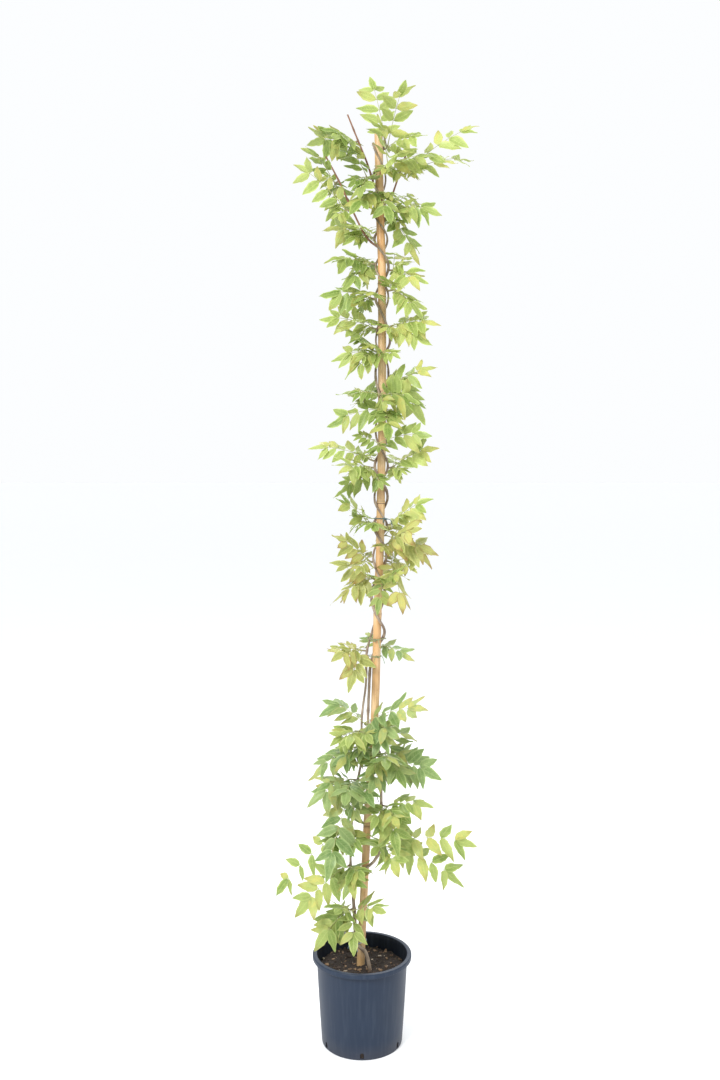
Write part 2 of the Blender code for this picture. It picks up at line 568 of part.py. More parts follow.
def leaf_sheet(base, tip, pairs, leaflet, droop, roll, rng, grow=1.0):
    """Thin surface of one compound leaf: points, faces, and the number of faces in its stalk."""
    chord = tip - base
    level = Vector((chord.x, chord.y, 0.0))
    level = level.normalized() if level.length > 0.01 else Vector((1.0, 0.0, 0.0))
    side_way = Vector((level.y, -level.x, 0.0))
    length = chord.length
    control = base + chord * 0.45 + Vector((0.0, 0.0, ARCH * length))
    end_share = max(0.55, 1.0 - 0.95 * leaflet / length)

    def rib(share):
        return base * (1 - share) ** 2 + control * 2 * share * (1 - share) + tip * share ** 2

    def frame(share):
        ahead = (control - base) * (1 - share) + (tip - control) * share
        ahead.normalize()
        across = Matrix.Rotation(roll, 3, ahead) @ side_way
        return ahead, across, across.cross(ahead)

    root_share = LEAFLET_ROOT / length
    stations = [0.0]
    pair_shares = []
    for number in range(pairs):
        middle = PETIOLE_SHARE + (end_share - PETIOLE_SHARE) * number / (pairs - 1)
        pair_shares.append(middle)
        stations += [middle - root_share / 2, middle + root_share / 2]
    points, faces = [], []
    for share in stations:
        ahead, across, _ = frame(share)
        spot = rib(share)
        points += [spot - across * RIB_WIDTH / 2, spot + across * RIB_WIDTH / 2]
    for index in range(len(stations) - 1):
        a, b, c, d = 2 * index, 2 * index + 1, 2 * index + 3, 2 * index + 2
        faces += [(a, b, c), (a, c, d)]
    stalk = len(faces)

    def add_leaflet(first, second, way, along, up, size, flip=False):
        start_point = (points[first] + points[second]) / 2
        wide = size * LEAFLET_ASPECT / 2 * grow
        middle = start_point + way * size * WIDEST_AT - up * size * 0.02
        number = len(points)
        points.append(middle - along * wide)
        points.append(middle + along * wide)
        points.append(start_point + way * size * grow - up * size * 0.05 - Vector((0.0, 0.0, size * TIP_FALL)))
        new = [(first, second, number + 1), (first, number + 1, number), (number, number + 1, number + 2)]
        faces.extend(face[::-1] for face in new) if flip else faces.extend(new)

    for number, share in enumerate(pair_shares):
        ahead, across, up = frame(share)
        size_share = 0.86 + 0.20 * math.sin(math.pi * (number + 0.8) / (pairs + 0.6))
        for side in (-1, 1):
            lean = math.radians(LEAFLET_LEAN + rng.uniform(-8, 6) - 14 * number / pairs)
            fall = droop + math.radians(rng.uniform(-12, 12))
            flat = across * side * math.sin(lean) + ahead * math.cos(lean)
            way = (flat * math.cos(fall) - up * math.sin(fall)).normalized()
            along = (ahead * math.sin(lean) - across * side * math.cos(lean)).normalized()
            low = 2 + 4 * number
            first, second = (low, low + 2) if side < 0 else (low + 1, low + 3)
            size = leaflet * size_share * rng.uniform(0.92, 1.06)
            add_leaflet(first, second, way, along, up, size, side > 0)
    ahead, across, up = frame(stations[-1])
    last = 2 * len(stations) - 2
    reach = tip - rib(stations[-1])
    size = reach.length
    way = reach.normalized()
    add_leaflet(last, last + 1, way, across, up, size)
    return points, faces, stalk


def guard_tree(points, faces):
    """Search tree over a leaf with clear room on both of its sides."""
    normals = [Vector() for _ in points]
    for face in faces:
        a, b, c = (points[i] for i in face)
        normal = (b - a).cross(c - a)
        for i in face:
            normals[i] += normal
    moved, all_faces = [], []
    for offset in (-CLEARANCE, CLEARANCE):
        start_index = len(moved)
        moved += [point + normal.normalized() * offset for point, normal in zip(points, normals)]
        all_faces += [tuple(start_index + i for i in face) for face in faces]
    return BVHTree.FromPolygons(moved, all_faces)


def spur_choices(stem, where, goal, lines):
    """Places for a spur on its stem, best first: centre of the stem there, its radius and the way out."""
    line, radii = lines[{"r": "a", "l": "b"}.get(stem, stem)]
    if stem.startswith("s"):
        indices = [round(where * (len(line) - 1))]
        indices += [i for i in range(1, len(line) - 1) if i not in indices]
    else:
        indices = [i for i in range(1, len(line) - 1) if abs(line[i].z - where) <= STEM_WINDOW]
    choices = []
    for i in indices:
        ahead = (line[i + 1] - line[i - 1]).normalized()
        toward = goal - line[i]
        if stem in ("a", "b"):
            out = line[i] - Vector((cane_x(line[i].z), 0.0, line[i].z))
        else:
            out = Vector(toward)
        out = (out - ahead * out.dot(ahead)).normalized()
        level = Vector((toward.x, toward.y, 0.0)).normalized()
        shift = abs(line[i].z - where) if not stem.startswith("s") else 0.02 * indices.index(i)
        choices.append((shift * 6 - out.dot(level), i, line[i], radii[i], out))
    choices.sort(key=lambda item: item[:2])
    return [item[2:] for item in choices]


def plan_spray(row, lines, fixed, grown, number):
    """Spur and leaves of one spray, placed clear of all that stands already."""
    name, tone, stem, where, leaves = row
    tips = [Vector(leaf[:3]) / 100 for leaf in leaves]
    goal = sum(tips, Vector()) / len(tips)
    for centre, radius, out in spur_choices(stem, where, goal, lines):
        foot = centre + out * (radius + SPUR_GAP)
        turn = (goal - foot).normalized()
        bend = (out + turn * 0.7 + Vector((0, 0, 0.4))).normalized()
        spur = [foot, foot + out * 0.004, foot + out * 0.004 + bend * (SPUR_LENGTH - 0.004)]
        plan = plan_leaves(row, spur, bend, fixed, grown, number)
        if plan:
            return spur, plan
    return None, None


def clear_of(tree, others):
    """True where the tree meets none of the others."""
    return not any(tree.overlap(other) for other in others)


def plan_leaves(row, spur, bend, fixed, grown, number):
    """Clear places for the leaves of a spray from a given spur, or nothing."""
    rng = random.Random(1000 + number)
    guard = spur_guard(spur)
    if not clear_of(guard, fixed + grown):
        return None
    plan, mine = [], []
    for index, (x, y, z, pairs, leaflet) in enumerate(row[4]):
        base = spur[2] - bend * (0.002 + 0.004 * index)
        seed = rng.random()
        target = Vector((x, y, z)) / 100
        droop = math.radians(DROOP[0] + DROOP[1] * seed)
        facing = (target - base).xy.normalized().x * (1.0 if rng.random() < 0.9 else -1.0)
        roll = math.radians(ROLL[0] + ROLL[1] * rng.random()) * facing
        found = None
        for turn, lift in SHIFTS:
            tip = base + Matrix.Rotation(math.radians(turn), 3, "Z") @ (target - base)
            tip.z += lift
            length = (tip - base).length
            if length < leaflet / 100 * 2.3:
                tip = base + (tip - base) * (leaflet / 100 * 2.3 / length)
            leaf = (base, tip, pairs, leaflet / 100, droop, roll, seed)
            points, faces, stalk = sheet_of(leaf, 1.08)
            tree = guard_tree(points, faces)
            if not clear_of(tree, fixed + grown):
                continue
            blades = guard_tree(points, faces[stalk:])
            if mine and not clear_of(blades, [other for other, _ in mine]):
                continue
            if mine and any(tree.overlap(other) for _, other in mine):
                continue
            found = (leaf, tree, blades)
            break
        if not found:
            return None
        plan.append(found[0])
        mine.append((found[1], found[2]))
    grown.append(guard)
    grown.extend(tree for tree, _ in mine)
    return plan


def sheet_of(leaf, grow=1.0):
    """Surface of a planned leaf."""
    base, tip, pairs, leaflet, droop, roll, seed = leaf
    return leaf_sheet(base, tip, pairs, leaflet, droop, roll, random.Random(seed), grow)


def spur_guard(spur):
    """Search tree round a spur, from a little off its foot."""
    foot, middle, tip = spur
    points, faces = [], []
    for spot, start_spot in ((foot, None), (middle, foot), (tip + (tip - middle).normalized() * 0.002, middle)):
        ahead = (spot - start_spot if start_spot else middle - foot).normalized()
        side = ahead.cross(Vector((0.3, 0.2, 1.0))).normalized()
        up = side.cross(ahead)
        reach = SPUR_RADIUS + (0.0001 if spot is foot else 0.001)
        points += [spot + side * reach, spot + up * reach, spot - side * reach, spot - up * reach]
    for ring in (0, 4):
        for i in range(4):
            faces.append((ring + i, ring + (i + 1) % 4, ring + 4 + (i + 1) % 4, ring + 4 + i))
    return BVHTree.FromPolygons(points, faces)


def build_leaf(parts, name, leaf, material):
    """Thin solid of one compound leaf."""
    points, faces, _ = sheet_of(leaf)
    mesh = bpy.data.meshes.new(name)
    mesh.from_pydata([tuple(point) for point in points], [], faces)
    thing = put(parts, name, mesh, material)
    shell = thing.modifiers.new("thickness", "SOLIDIFY")
    shell.thickness = BLADE
    shell.offset = 0.0
    body = solid_mesh(thing)
    bpy.data.objects.remove(thing, do_unlink=True)
    return put(parts, name, body, material)


def build_spray(parts, row, lines, fixed, grown, number):
    """Leafy spray: compound leaves on one short spur."""
    spur, plan = plan_spray(row, lines, fixed, grown, number)
    if not plan:
        print("no clear place for", row[0])
        return None
    material = "leaf_" + row[1]
    radii = [SPUR_RADIUS, SPUR_RADIUS * 1.1, SPUR_RADIUS * 0.8]
    things = [tube(parts, "spur", spur, radii, SPUR_SIDES, material)]
    for index, leaf in enumerate(plan):
        things.append(build_leaf(parts, "leaf_%d" % index, leaf, material))
    return fuse(parts, "spray_" + row[0], things, material)


def build():
    """Whole plant in its pot."""
    parts, cutters = start()
    lines = stem_lines()
    pot = build_pot(parts, cutters)
    cane = build_cane(parts, cutters)
    stems = build_stems(parts, lines)
    cane_rows = cane_stations()
    cane_line = [(cane_x(height), 0.0, height) for height, _ in cane_rows]
    rods = (("cane_hole", cane_line, [radius for _, radius in cane_rows], CANE_SIDES),
            ("trunk_hole", *lines["t"], STEM_SIDES["t"]))
    soil = build_soil(parts, cutters, rods)
    ties = [build_tie(parts, *row, lines) for row in TIES]
    fixed = [tree_of(thing) for thing in (pot, cane, stems, soil, *ties)]
    grown = []
    for number, row in enumerate(SPRAYS):
        build_spray(parts, row, lines, fixed, grown, number)
    bpy.data.collections.remove(cutters)


build()
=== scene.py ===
import math
import random

import bpy
from mathutils import Matrix, Vector
from mathutils.kdtree import KDTree
from mathutils.noise import noise


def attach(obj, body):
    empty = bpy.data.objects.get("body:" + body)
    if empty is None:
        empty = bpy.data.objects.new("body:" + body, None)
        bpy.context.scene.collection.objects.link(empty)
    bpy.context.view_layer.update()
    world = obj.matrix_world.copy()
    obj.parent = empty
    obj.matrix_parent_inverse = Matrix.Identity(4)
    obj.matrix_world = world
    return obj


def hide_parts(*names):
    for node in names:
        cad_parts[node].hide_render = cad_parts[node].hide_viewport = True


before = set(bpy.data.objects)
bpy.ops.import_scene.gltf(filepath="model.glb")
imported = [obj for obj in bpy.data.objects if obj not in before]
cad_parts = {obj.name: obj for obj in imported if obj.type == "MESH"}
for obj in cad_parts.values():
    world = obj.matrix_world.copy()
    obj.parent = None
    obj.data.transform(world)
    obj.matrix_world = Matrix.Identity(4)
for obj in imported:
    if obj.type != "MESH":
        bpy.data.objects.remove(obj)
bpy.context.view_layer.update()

# A wisteria trained up a bamboo cane, in a round nursery pot. Lengths are in metres, +Z is up.


# small helpers for shader nodes
def addNode(tree, kind, inputs=None, **settings):
    made = tree.nodes.new(kind)
    for key, value in settings.items():
        setattr(made, key, value)
    for key, value in (inputs or {}).items():
        if isinstance(value, bpy.types.NodeSocket):
            tree.links.new(value, made.inputs[key])
        else:
            made.inputs[key].default_value = value
    return made


def reckon(tree, operation, first, second=0.0):
    return addNode(tree, "ShaderNodeMath", {0: first, 1: second}, operation=operation).outputs[0]


def times(tree, first, second):
    return reckon(tree, "MULTIPLY", first, second)


def spread(tree, value, low, high, newLow=0.0, newHigh=1.0):
    inputs = {"Value": value, "From Min": low, "From Max": high, "To Min": newLow, "To Max": newHigh}
    return addNode(tree, "ShaderNodeMapRange", inputs, interpolation_type="SMOOTHSTEP").outputs["Result"]


def mixColours(tree, share, first, second):
    made = addNode(tree, "ShaderNodeMix", data_type="RGBA")
    for index, value in ((0, share), (6, first), (7, second)):
        if isinstance(value, bpy.types.NodeSocket):
            tree.links.new(value, made.inputs[index])
        else:
            made.inputs[index].default_value = value if index == 0 else (*value, 1.0)
    return made.outputs[2]


def tint(tree, base, colour, value, low, high, least=0.0, most=1.0):
    # lays a colour over the base where the value rises from low to high
    return mixColours(tree, spread(tree, value, low, high, least, most), base, colour)


def ownPlace(tree, stretch=(1, 1, 1)):
    place = addNode(tree, "ShaderNodeTexCoord").outputs["Object"]
    return addNode(tree, "ShaderNodeMapping", {"Vector": place, "Scale": stretch}).outputs[0]


def heightOf(tree):
    return addNode(tree, "ShaderNodeSeparateXYZ", {0: ownPlace(tree)}).outputs["Z"]


def grain(tree, place, scale, detail=3.0, roughness=0.55):
    inputs = {"Vector": place, "Scale": scale, "Detail": detail, "Roughness": roughness}
    return addNode(tree, "ShaderNodeTexNoise", inputs).outputs["Fac"]


def relief(tree, height, strength, distance):
    inputs = {"Height": height, "Strength": strength, "Distance": distance}
    return addNode(tree, "ShaderNodeBump", inputs).outputs["Normal"]


def marksOf(tree):
    read = addNode(tree, "ShaderNodeAttribute", attribute_name="marks").outputs["Vector"]
    return addNode(tree, "ShaderNodeSeparateXYZ", {0: read}).outputs


def newFinish(name, roughness=0.5):
    made = bpy.data.materials.new(name)
    made.use_nodes = True
    shader = made.node_tree.nodes["Principled BSDF"]
    shader.inputs["Roughness"].default_value = roughness
    return made, made.node_tree, shader


def wire(tree, shader, colour, roughness=None, normal=None):
    tree.links.new(colour, shader.inputs["Base Color"])
    if roughness:
        tree.links.new(roughness, shader.inputs["Roughness"])
    if normal:
        tree.links.new(normal, shader.inputs["Normal"])


# small helpers for meshes: a sheet gathers points and faces, and three marks a point, which the finishes read
def newSheet():
    return {"points": [], "faces": [], "slots": [], "marks": []}


def addTo(sheet, points, faces, slot=0, marks=None):
    start = len(sheet["points"])
    sheet["points"] += [tuple(point) for point in points]
    sheet["faces"] += [tuple(start + i for i in face) for face in faces]
    sheet["slots"] += [slot] * len(faces)
    sheet["marks"] += list(marks) if marks else [(0.0, 0.0, 0.0)] * len(points)


def sheetMesh(name, sheet, materials, smooth=True):
    mesh = bpy.data.meshes.new(name)
    mesh.from_pydata(sheet["points"], [], sheet["faces"])
    for material in materials:
        mesh.materials.append(material)
    mesh.polygons.foreach_set("material_index", sheet["slots"])
    mesh.polygons.foreach_set("use_smooth", [smooth] * len(sheet["faces"]))
    written = mesh.attributes.new("marks", "FLOAT_VECTOR", "POINT")
    written.data.foreach_set("vector", [value for mark in sheet["marks"] for value in mark])
    mesh.update()
    return mesh


def placePiece(name, mesh, node):
    piece = bpy.data.objects.new(name, mesh)
    bpy.context.scene.collection.objects.link(piece)
    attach(piece, "root")
    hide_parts(node)


def sweep(line, radii, sides, shape=None, closed=False, caps=True):
    # rod along the line; shape(station, angle) swells or narrows it
    count = len(line)
    points, faces = [], []
    side = None
    for i, spot in enumerate(line):
        before = line[i - 1] if i or closed else spot
        after = line[(i + 1) % count] if i < count - 1 or closed else spot
        ahead = (after - before).normalized()
        if side is None:
            side = ahead.orthogonal().normalized()
        side = (side - ahead * side.dot(ahead)).normalized()
        up = ahead.cross(side)
        for k in range(sides):
            angle = 2 * math.pi * k / sides
            reach = radii[i] * (shape(i, angle) if shape else 1.0)
            points.append(spot + (side * math.cos(angle) + up * math.sin(angle)) * reach)
    rings = count if closed else count - 1
    shift = 0
    if closed:  # the last ring meets the first at the corner nearest to its own
        last = points[(count - 1) * sides]
        shift = min(range(sides), key=lambda corner: (last - points[corner]).length)
    for i in range(rings):
        for k in range(sides):
            low, high = i * sides, (i + 1) % count * sides
            step = shift if i == count - 1 else 0
            faces.append((low + k, low + (k + 1) % sides,
                          high + (k + 1 + step) % sides, high + (k + step) % sides))
    if caps and not closed:
        faces += [tuple(range(sides))[::-1], tuple(range((count - 1) * sides, count * sides))]
    return points, faces


def lathe(profile, turns):
    # closed profile of radius and height, turned about the upright axis
    points, faces, rings = [], [], []
    for radius, height in profile:
        if radius < 1e-6:
            rings.append([len(points)] * turns)
            points.append((0.0, 0.0, height))
            continue
        rings.append([len(points) + k for k in range(turns)])
        for k in range(turns):
            angle = 2 * math.pi * k / turns
            points.append((radius * math.cos(angle), radius * math.sin(angle), height))
    for low, high in zip(rings, rings[1:] + rings[:1]):
        for k in range(turns):
            j = (k + 1) % turns
            corners = [low[k], low[j], high[j], high[k]]
            face = [c for i, c in enumerate(corners) if c not in corners[:i]]
            if len(face) > 2:
                faces.append(tuple(face))
    return points, faces


def smoothLine(points, step):
    # smooth curve through all the points, in steps of about the given length
    places = [Vector(point) for point in points]
    line = [places[0]]
    for index in range(len(places) - 1):
        before = places[max(index - 1, 0)]
        here, there = places[index], places[index + 1]
        after = places[min(index + 2, len(places) - 1)]
        count = max(1, round((there - here).length / step))
        for number in range(1, count + 1):
            t = number / count
            line.append(0.5 * ((2 * here) + (there - before) * t
                               + (2 * before - 5 * here + 4 * there - after) * t * t
                               + (3 * here - before - 3 * there + after) * t ** 3))
    return line


# pot
pot = {
    "height": 0.235, "rimRadius": 0.130, "wallTopRadius": 0.1193, "baseRadius": 0.1050,
    "wall": 0.0025, "floor": 0.0030, "hollow": 0.0014, "footRing": (0.004, 0.006),
    "footFlare": 0.0012, "footHeight": 0.0050, "swell": 0.0004, "swellAt": (0.12, 0.3, 0.5, 0.7, 0.9),
    "lipHeight": 0.0115, "lipThick": 0.0022, "lipUnder": 0.0040, "lipRoot": 0.0014, "chamfer": 0.0016,
    "innerLean": 0.0006, "cornerRound": 0.0011,
    "slots": 6, "slotWidth": 0.010, "slotHeight": 0.020, "slotFoot": 0.0045, "slotReach": (0.008, 0.010),
    "turns": 144, "sharpAngle": 38,
    # the inside colour is painted shade: the inner wall is darker than the outer one
    "colour": (0.016, 0.028, 0.054), "insideShadeColour": (0.010, 0.014, 0.022),
    # the dust colour is real dust on the scuffs and painted sheen on the faint vertical streaks
    "dustAndSheenColour": (0.080, 0.102, 0.135), "earthColour": (0.16, 0.13, 0.10),
}


def potFinish(name, colour, inside=False):
    made, tree, shader = newFinish(name)
    shader.inputs["Specular IOR Level"].default_value = 0.24
    place = ownPlace(tree)
    clouds = grain(tree, place, 16.0, 4.0)
    streaks = grain(tree, ownPlace(tree, (120, 120, 5)), 1.0, 4.0, 0.6)
    fine = grain(tree, place, 900.0, 2.0)
    scuffs = spread(tree, grain(tree, ownPlace(tree, (60, 60, 190)), 1.0, 7.0, 0.7), 0.64, 0.74)
    darker = tuple(value * 0.78 for value in colour)
    base = mixColours(tree, clouds, darker, colour)
    # painted sheen: faint lighter streaks down the wall
    base = tint(tree, base, pot["dustAndSheenColour"], streaks, 0.45, 0.75, 0.0, 0.14)
    worn = times(tree, scuffs, 0.12 if inside else 0.20)
    base = mixColours(tree, worn, base, pot["dustAndSheenColour"])
    low = spread(tree, heightOf(tree), 0.0, 0.05, 0.22, 0.0)
    base = mixColours(tree, times(tree, low, clouds), base, pot["earthColour"])
    dull = reckon(tree, "ADD", times(tree, clouds, 0.18), 0.34)
    dull = reckon(tree, "ADD", dull, times(tree, scuffs, 0.2))
    uneven = reckon(tree, "ADD", streaks, times(tree, fine, 0.4))
    wire(tree, shader, base, dull, relief(tree, uneven, 0.14, 0.0005))
    return made


def roundCorners(profile, radius):
    # each corner of the profile becomes four points on a small arc
    made = []
    count = len(profile)
    for i, corner in enumerate(profile):
        here = Vector(corner)
        if here.x < 1e-6:
            made.append(corner)
            continue
        before, after = Vector(profile[i - 1]), Vector(profile[(i + 1) % count])
        cut = min(radius, (before - here).length * 0.4, (after - here).length * 0.4)
        start = here + (before - here).normalized() * cut
        end = here + (after - here).normalized() * cut
        for t in (0.0, 0.33, 0.67, 1.0):
            spot = start * (1 - t) ** 2 + here * 2 * t * (1 - t) + end * t * t
            made.append((spot.x, spot.y))
    return made


def makePot():
    height, rim, edge = pot["height"], pot["rimRadius"], pot["chamfer"]
    top, base, wall = pot["wallTopRadius"], pot["baseRadius"], pot["wall"]
    lipFoot, lipInner, lipUnder = height - pot["lipHeight"], rim - pot["lipThick"], height - pot["lipUnder"]
    flare = base + pot["footFlare"]
    ring, hollow = pot["footRing"], pot["hollow"]
    lipOutline = [(rim - edge, height), (rim, height - edge), (rim, lipFoot), (lipInner, lipFoot),
                  (lipInner, lipUnder), (top + pot["lipRoot"], lipUnder)]
    outer = [(top, lipFoot)]
    for share in pot["swellAt"]:  # faint moulded swell of the wall
        swell = pot["swell"] * math.sin(math.pi * share)
        outer.append((top + (flare - top) * share + swell, lipFoot * (1 - share) + pot["footHeight"] * share))
    foot = [(flare, pot["footHeight"]), (base, 0.0), (base - ring[0], 0.0), (base - ring[1], hollow),
            (0.0, hollow)]
    inner = [(0.0, pot["floor"]), (flare - wall, pot["floor"]), (top - wall, lipFoot),
             (top - pot["innerLean"], height)]
    points, faces = lathe(roundCorners(lipOutline + outer + foot + inner, pot["cornerRound"]), pot["turns"])
    sheet = newSheet()
    addTo(sheet, points, faces)
    finishes = [potFinish("potPlastic", pot["colour"]), potFinish("potInsidePaintedShade", pot["insideShadeColour"], True)]
    piece = bpy.data.objects.new("cutPot", sheetMesh("pot", sheet, finishes))
    bpy.context.scene.collection.objects.link(piece)
    cutters = []
    for number in range(pot["slots"]):
        cutter = bpy.data.objects.new("slot", slotMesh(math.radians(270 + 360 / pot["slots"] * number)))
        bpy.context.scene.collection.objects.link(cutter)
        cut = piece.modifiers.new("slot", "BOOLEAN")
        cut.operation, cut.object, cut.solver = "DIFFERENCE", cutter, "EXACT"
        cutters.append(cutter)
    bpy.context.view_layer.update()
    done = bpy.data.meshes.new_from_object(piece.evaluated_get(bpy.context.evaluated_depsgraph_get()))
    for thing in [piece] + cutters:
        bpy.data.objects.remove(thing, do_unlink=True)
    # painted shade: the inward faces of the wall take the darker inside finish
    for face in done.polygons:  # what looks inward is darker
        spot, way = face.center, face.normal
        inward = spot.x * way.x + spot.y * way.y < -0.01
        face.material_index = 1 if inward and 0.004 < spot.z < height - 0.001 else 0
        face.use_smooth = True
    done.set_sharp_from_angle(angle=math.radians(pot["sharpAngle"]))
    placePiece("nursery_pot", done, "pot")


def slotMesh(angle):
    # cutter for one drain slot with a round top
    half, tall, foot = pot["slotWidth"] / 2, pot["slotHeight"], pot["slotFoot"]
    steps = 12
    outline = [(-half, foot), (half, foot)]
    for k in range(steps + 1):
        turn = math.pi * k / steps
        outline.append((half * math.cos(turn), tall - half + half * math.sin(turn)))
    near, far = pot["baseRadius"] - pot["slotReach"][0], pot["baseRadius"] + pot["slotReach"][1]
    count = len(outline)
    sheet = newSheet()
    addTo(sheet, [(near, x, z) for x, z in outline] + [(far, x, z) for x, z in outline],
          [tuple(range(count))[::-1], tuple(range(count, 2 * count))]
          + [(i, (i + 1) % count, count + (i + 1) % count, count + i) for i in range(count)])
    mesh = sheetMesh("slot", sheet, [])
    mesh.transform(Matrix.Rotation(angle, 4, "Z"))
    return mesh


# soil
soil = {
    "top": 0.200, "roughness": 0.0035, "gap": 0.0006, "shrink": 0.0004, "crumbs": (0.0022, 0.0014),
    "edgeFrom": 0.93, "edgeWide": 0.07, "edgeDip": 0.003,
    "rings": 34, "turns": 110, "seed": 7,
    "chips": 460, "chipSize": 0.0015, "chipMore": 0.0055, "caneClear": 0.015, "trunkClear": 0.009,
    "colour": (0.012, 0.008, 0.006), "dryColour": (0.042, 0.029, 0.021), "dampColour": (0.020, 0.012, 0.009),
    "fleckColour": (0.24, 0.17, 0.11), "fibreColour": (0.03, 0.02, 0.014),
    "chipDark": (0.040, 0.022, 0.014), "chipTan": (0.260, 0.160, 0.090), "chipPale": (0.560, 0.480, 0.380),
}


def soilHeight(x, y):
    bumps = math.sin(61 * x + 1.3) * math.cos(53 * y + 0.4) + 0.6 * math.sin(118 * x - 97 * y)
    big, small = soil["crumbs"]
    rough = noise(Vector((x, y, 0.2)) * 160) * big + noise(Vector((x, y, 0.7)) * 420) * small
    return soil["top"] + soil["roughness"] * bumps / 1.6 + rough


def soilFinish():
    made, tree, shader = newFinish("soilEarth", 0.95)
    place = ownPlace(tree)
    crumbs = grain(tree, place, 330.0, 6.0, 0.7)
    damp = grain(tree, place, 26.0, 3.0)
    base = mixColours(tree, spread(tree, crumbs, 0.35, 0.72), soil["colour"], soil["dryColour"])
    base = tint(tree, base, soil["dampColour"], damp, 0.4, 0.62, 0.0, 0.6)
    flecks = addNode(tree, "ShaderNodeTexVoronoi", {"Vector": place, "Scale": 210.0}).outputs["Distance"]
    base = tint(tree, base, soil["fleckColour"], flecks, 0.05, 0.16, 0.75, 0.0)
    wire(tree, shader, base, None, relief(tree, crumbs, 0.9, 0.0018))
    return made


def chipFinish():
    made, tree, shader = newFinish("barkChips", 0.85)
    tone = marksOf(tree)["X"]
    fibres = grain(tree, ownPlace(tree, (900, 300, 700)), 1.0, 3.0)
    base = mixColours(tree, spread(tree, tone, 0.50, 0.85), soil["chipDark"], soil["chipTan"])
    base = tint(tree, base, soil["chipPale"], tone, 0.90, 0.97)
    base = mixColours(tree, times(tree, fibres, 0.5), base, soil["fibreColour"])
    wire(tree, shader, base, None, relief(tree, fibres, 0.6, 0.0006))
    return made


def makeSoil():
    # the wall of the soil follows the slope of the pot
    low = pot["baseRadius"] + pot["footFlare"] - pot["wall"] - soil["gap"]
    slope = (pot["wallTopRadius"] - pot["baseRadius"] - pot["footFlare"]) / (
        pot["height"] - pot["lipHeight"] - pot["footHeight"])
    foot = pot["floor"] + soil["gap"]
    wide = low + slope * (soil["top"] - foot) - soil["shrink"]
    points, faces = [(0.0, 0.0, soilHeight(0, 0))], []
    turns, rings = soil["turns"], soil["rings"]
    for ring in range(1, rings + 1):
        for k in range(turns):
            angle = 2 * math.pi * (k + 0.5 * (ring % 2)) / turns
            radius = wide * (ring / rings) ** 0.8
            x, y = radius * math.cos(angle), radius * math.sin(angle)
            edge = max(0.0, (radius / wide - soil["edgeFrom"]) / soil["edgeWide"])
            points.append((x, y, soilHeight(x, y) - soil["edgeDip"] * edge))
    for k in range(turns):
        angle = 2 * math.pi * (k + 0.5 * (rings % 2)) / turns
        points.append((low * math.cos(angle), low * math.sin(angle), foot))
    faces += [(0, 1 + k, 1 + (k + 1) % turns) for k in range(turns)]
    for ring in range(rings):
        a, b = 1 + ring * turns, 1 + (ring + 1) * turns
        faces += [(a + k, b + k, b + (k + 1) % turns, a + (k + 1) % turns) for k in range(turns)]
    faces.append(tuple(range(1 + rings * turns, 1 + (rings + 1) * turns))[::-1])
    sheet = newSheet()
    addTo(sheet, points, faces)
    rng = random.Random(soil["seed"])
    caneFoot, trunkFoot = Vector((caneX(soil["top"]), 0.0)), Vector(stems["trunk"][0]).xy
    placed = 0
    while placed < soil["chips"]:
        radius, angle = wide * 0.97 * math.sqrt(rng.random()), rng.uniform(0, 2 * math.pi)
        spot = Vector((radius * math.cos(angle), radius * math.sin(angle), 0.0))
        nearCane = (spot.xy - caneFoot).length < soil["caneClear"]
        if nearCane or (spot.xy - trunkFoot).length < soil["trunkClear"]:
            continue
        spot.z = soilHeight(spot.x, spot.y)
        addChip(sheet, spot, rng)
        placed += 1
    placePiece("potting_soil", sheetMesh("soil", sheet, [soilFinish(), chipFinish()], False), "soil")


def addChip(sheet, spot, rng):
    # shard of bark with six corners, half sunk in the soil
    big = rng.random() ** 3
    size = soil["chipSize"] + soil["chipMore"] * big
    turn = Matrix.Rotation(rng.uniform(0, 6.28), 3, "Z") @ Matrix.Rotation(rng.uniform(-0.6, 0.6), 3, "X")
    wide, thick = size * rng.uniform(0.3, 0.7), size * rng.uniform(0.14, 0.34)
    corners = [(-1, 0, 0), (-0.3, -1, 0.1), (0.7, -0.7, 0), (1, 0.1, 0), (0.4, 1, 0), (-0.6, 0.7, 0.1)]
    top = []
    for x, y, z in corners:
        x, y = x + rng.uniform(-0.2, 0.2), y + rng.uniform(-0.2, 0.2)
        top.append(Vector((x * size, y * wide, z * size + thick)))
    bottom = [point * 0.86 - Vector((0, 0, thick * 1.9)) for point in top]
    points = [spot + Vector((0, 0, thick * 0.3)) + turn @ point for point in top + bottom]
    faces = [tuple(range(6)), tuple(range(6, 12))[::-1]]
    faces += [((k + 1) % 6, k, 6 + k, 6 + (k + 1) % 6) for k in range(6)]
    addTo(sheet, points, faces, 1, [(rng.random(), 0.0, 0.0)] * 12)


# bamboo cane
cane = {
    "radius": 0.0107, "foot": 0.040, "top": 2.350,
    "line": ((0.04, -0.010), (0.29, 0.000), (0.63, 0.016), (0.80, 0.030), (0.95, 0.036), (1.10, 0.039),
             (1.30, 0.046), (1.60, 0.051), (1.85, 0.051), (2.03, 0.050), (2.15, 0.045), (2.35, 0.041)),
    "joints": (0.33, 0.58, 0.85, 1.13, 1.42, 1.70, 1.97, 2.20),
    "boreRadius": 0.0050, "boreDepth": 0.060,
    "jointScale": 0.0024, "jointReach": 0.007, "ridge": 0.0009, "groove": 0.0007, "shoulder": 0.00035,
    "skin": 0.0003, "waver": 0.00025, "unround": 0.010,
    "sides": 36, "step": 0.012, "fineStep": 0.0012, "sharpAngle": 50, "seed": 3,
    "colour": (0.500, 0.320, 0.150), "warmColour": (0.560, 0.310, 0.125), "paleColour": (0.660, 0.500, 0.300),
    "markColour": (0.120, 0.070, 0.038), "fibreColour": (0.300, 0.165, 0.070),
    "cutColour": (0.700, 0.560, 0.350),
}


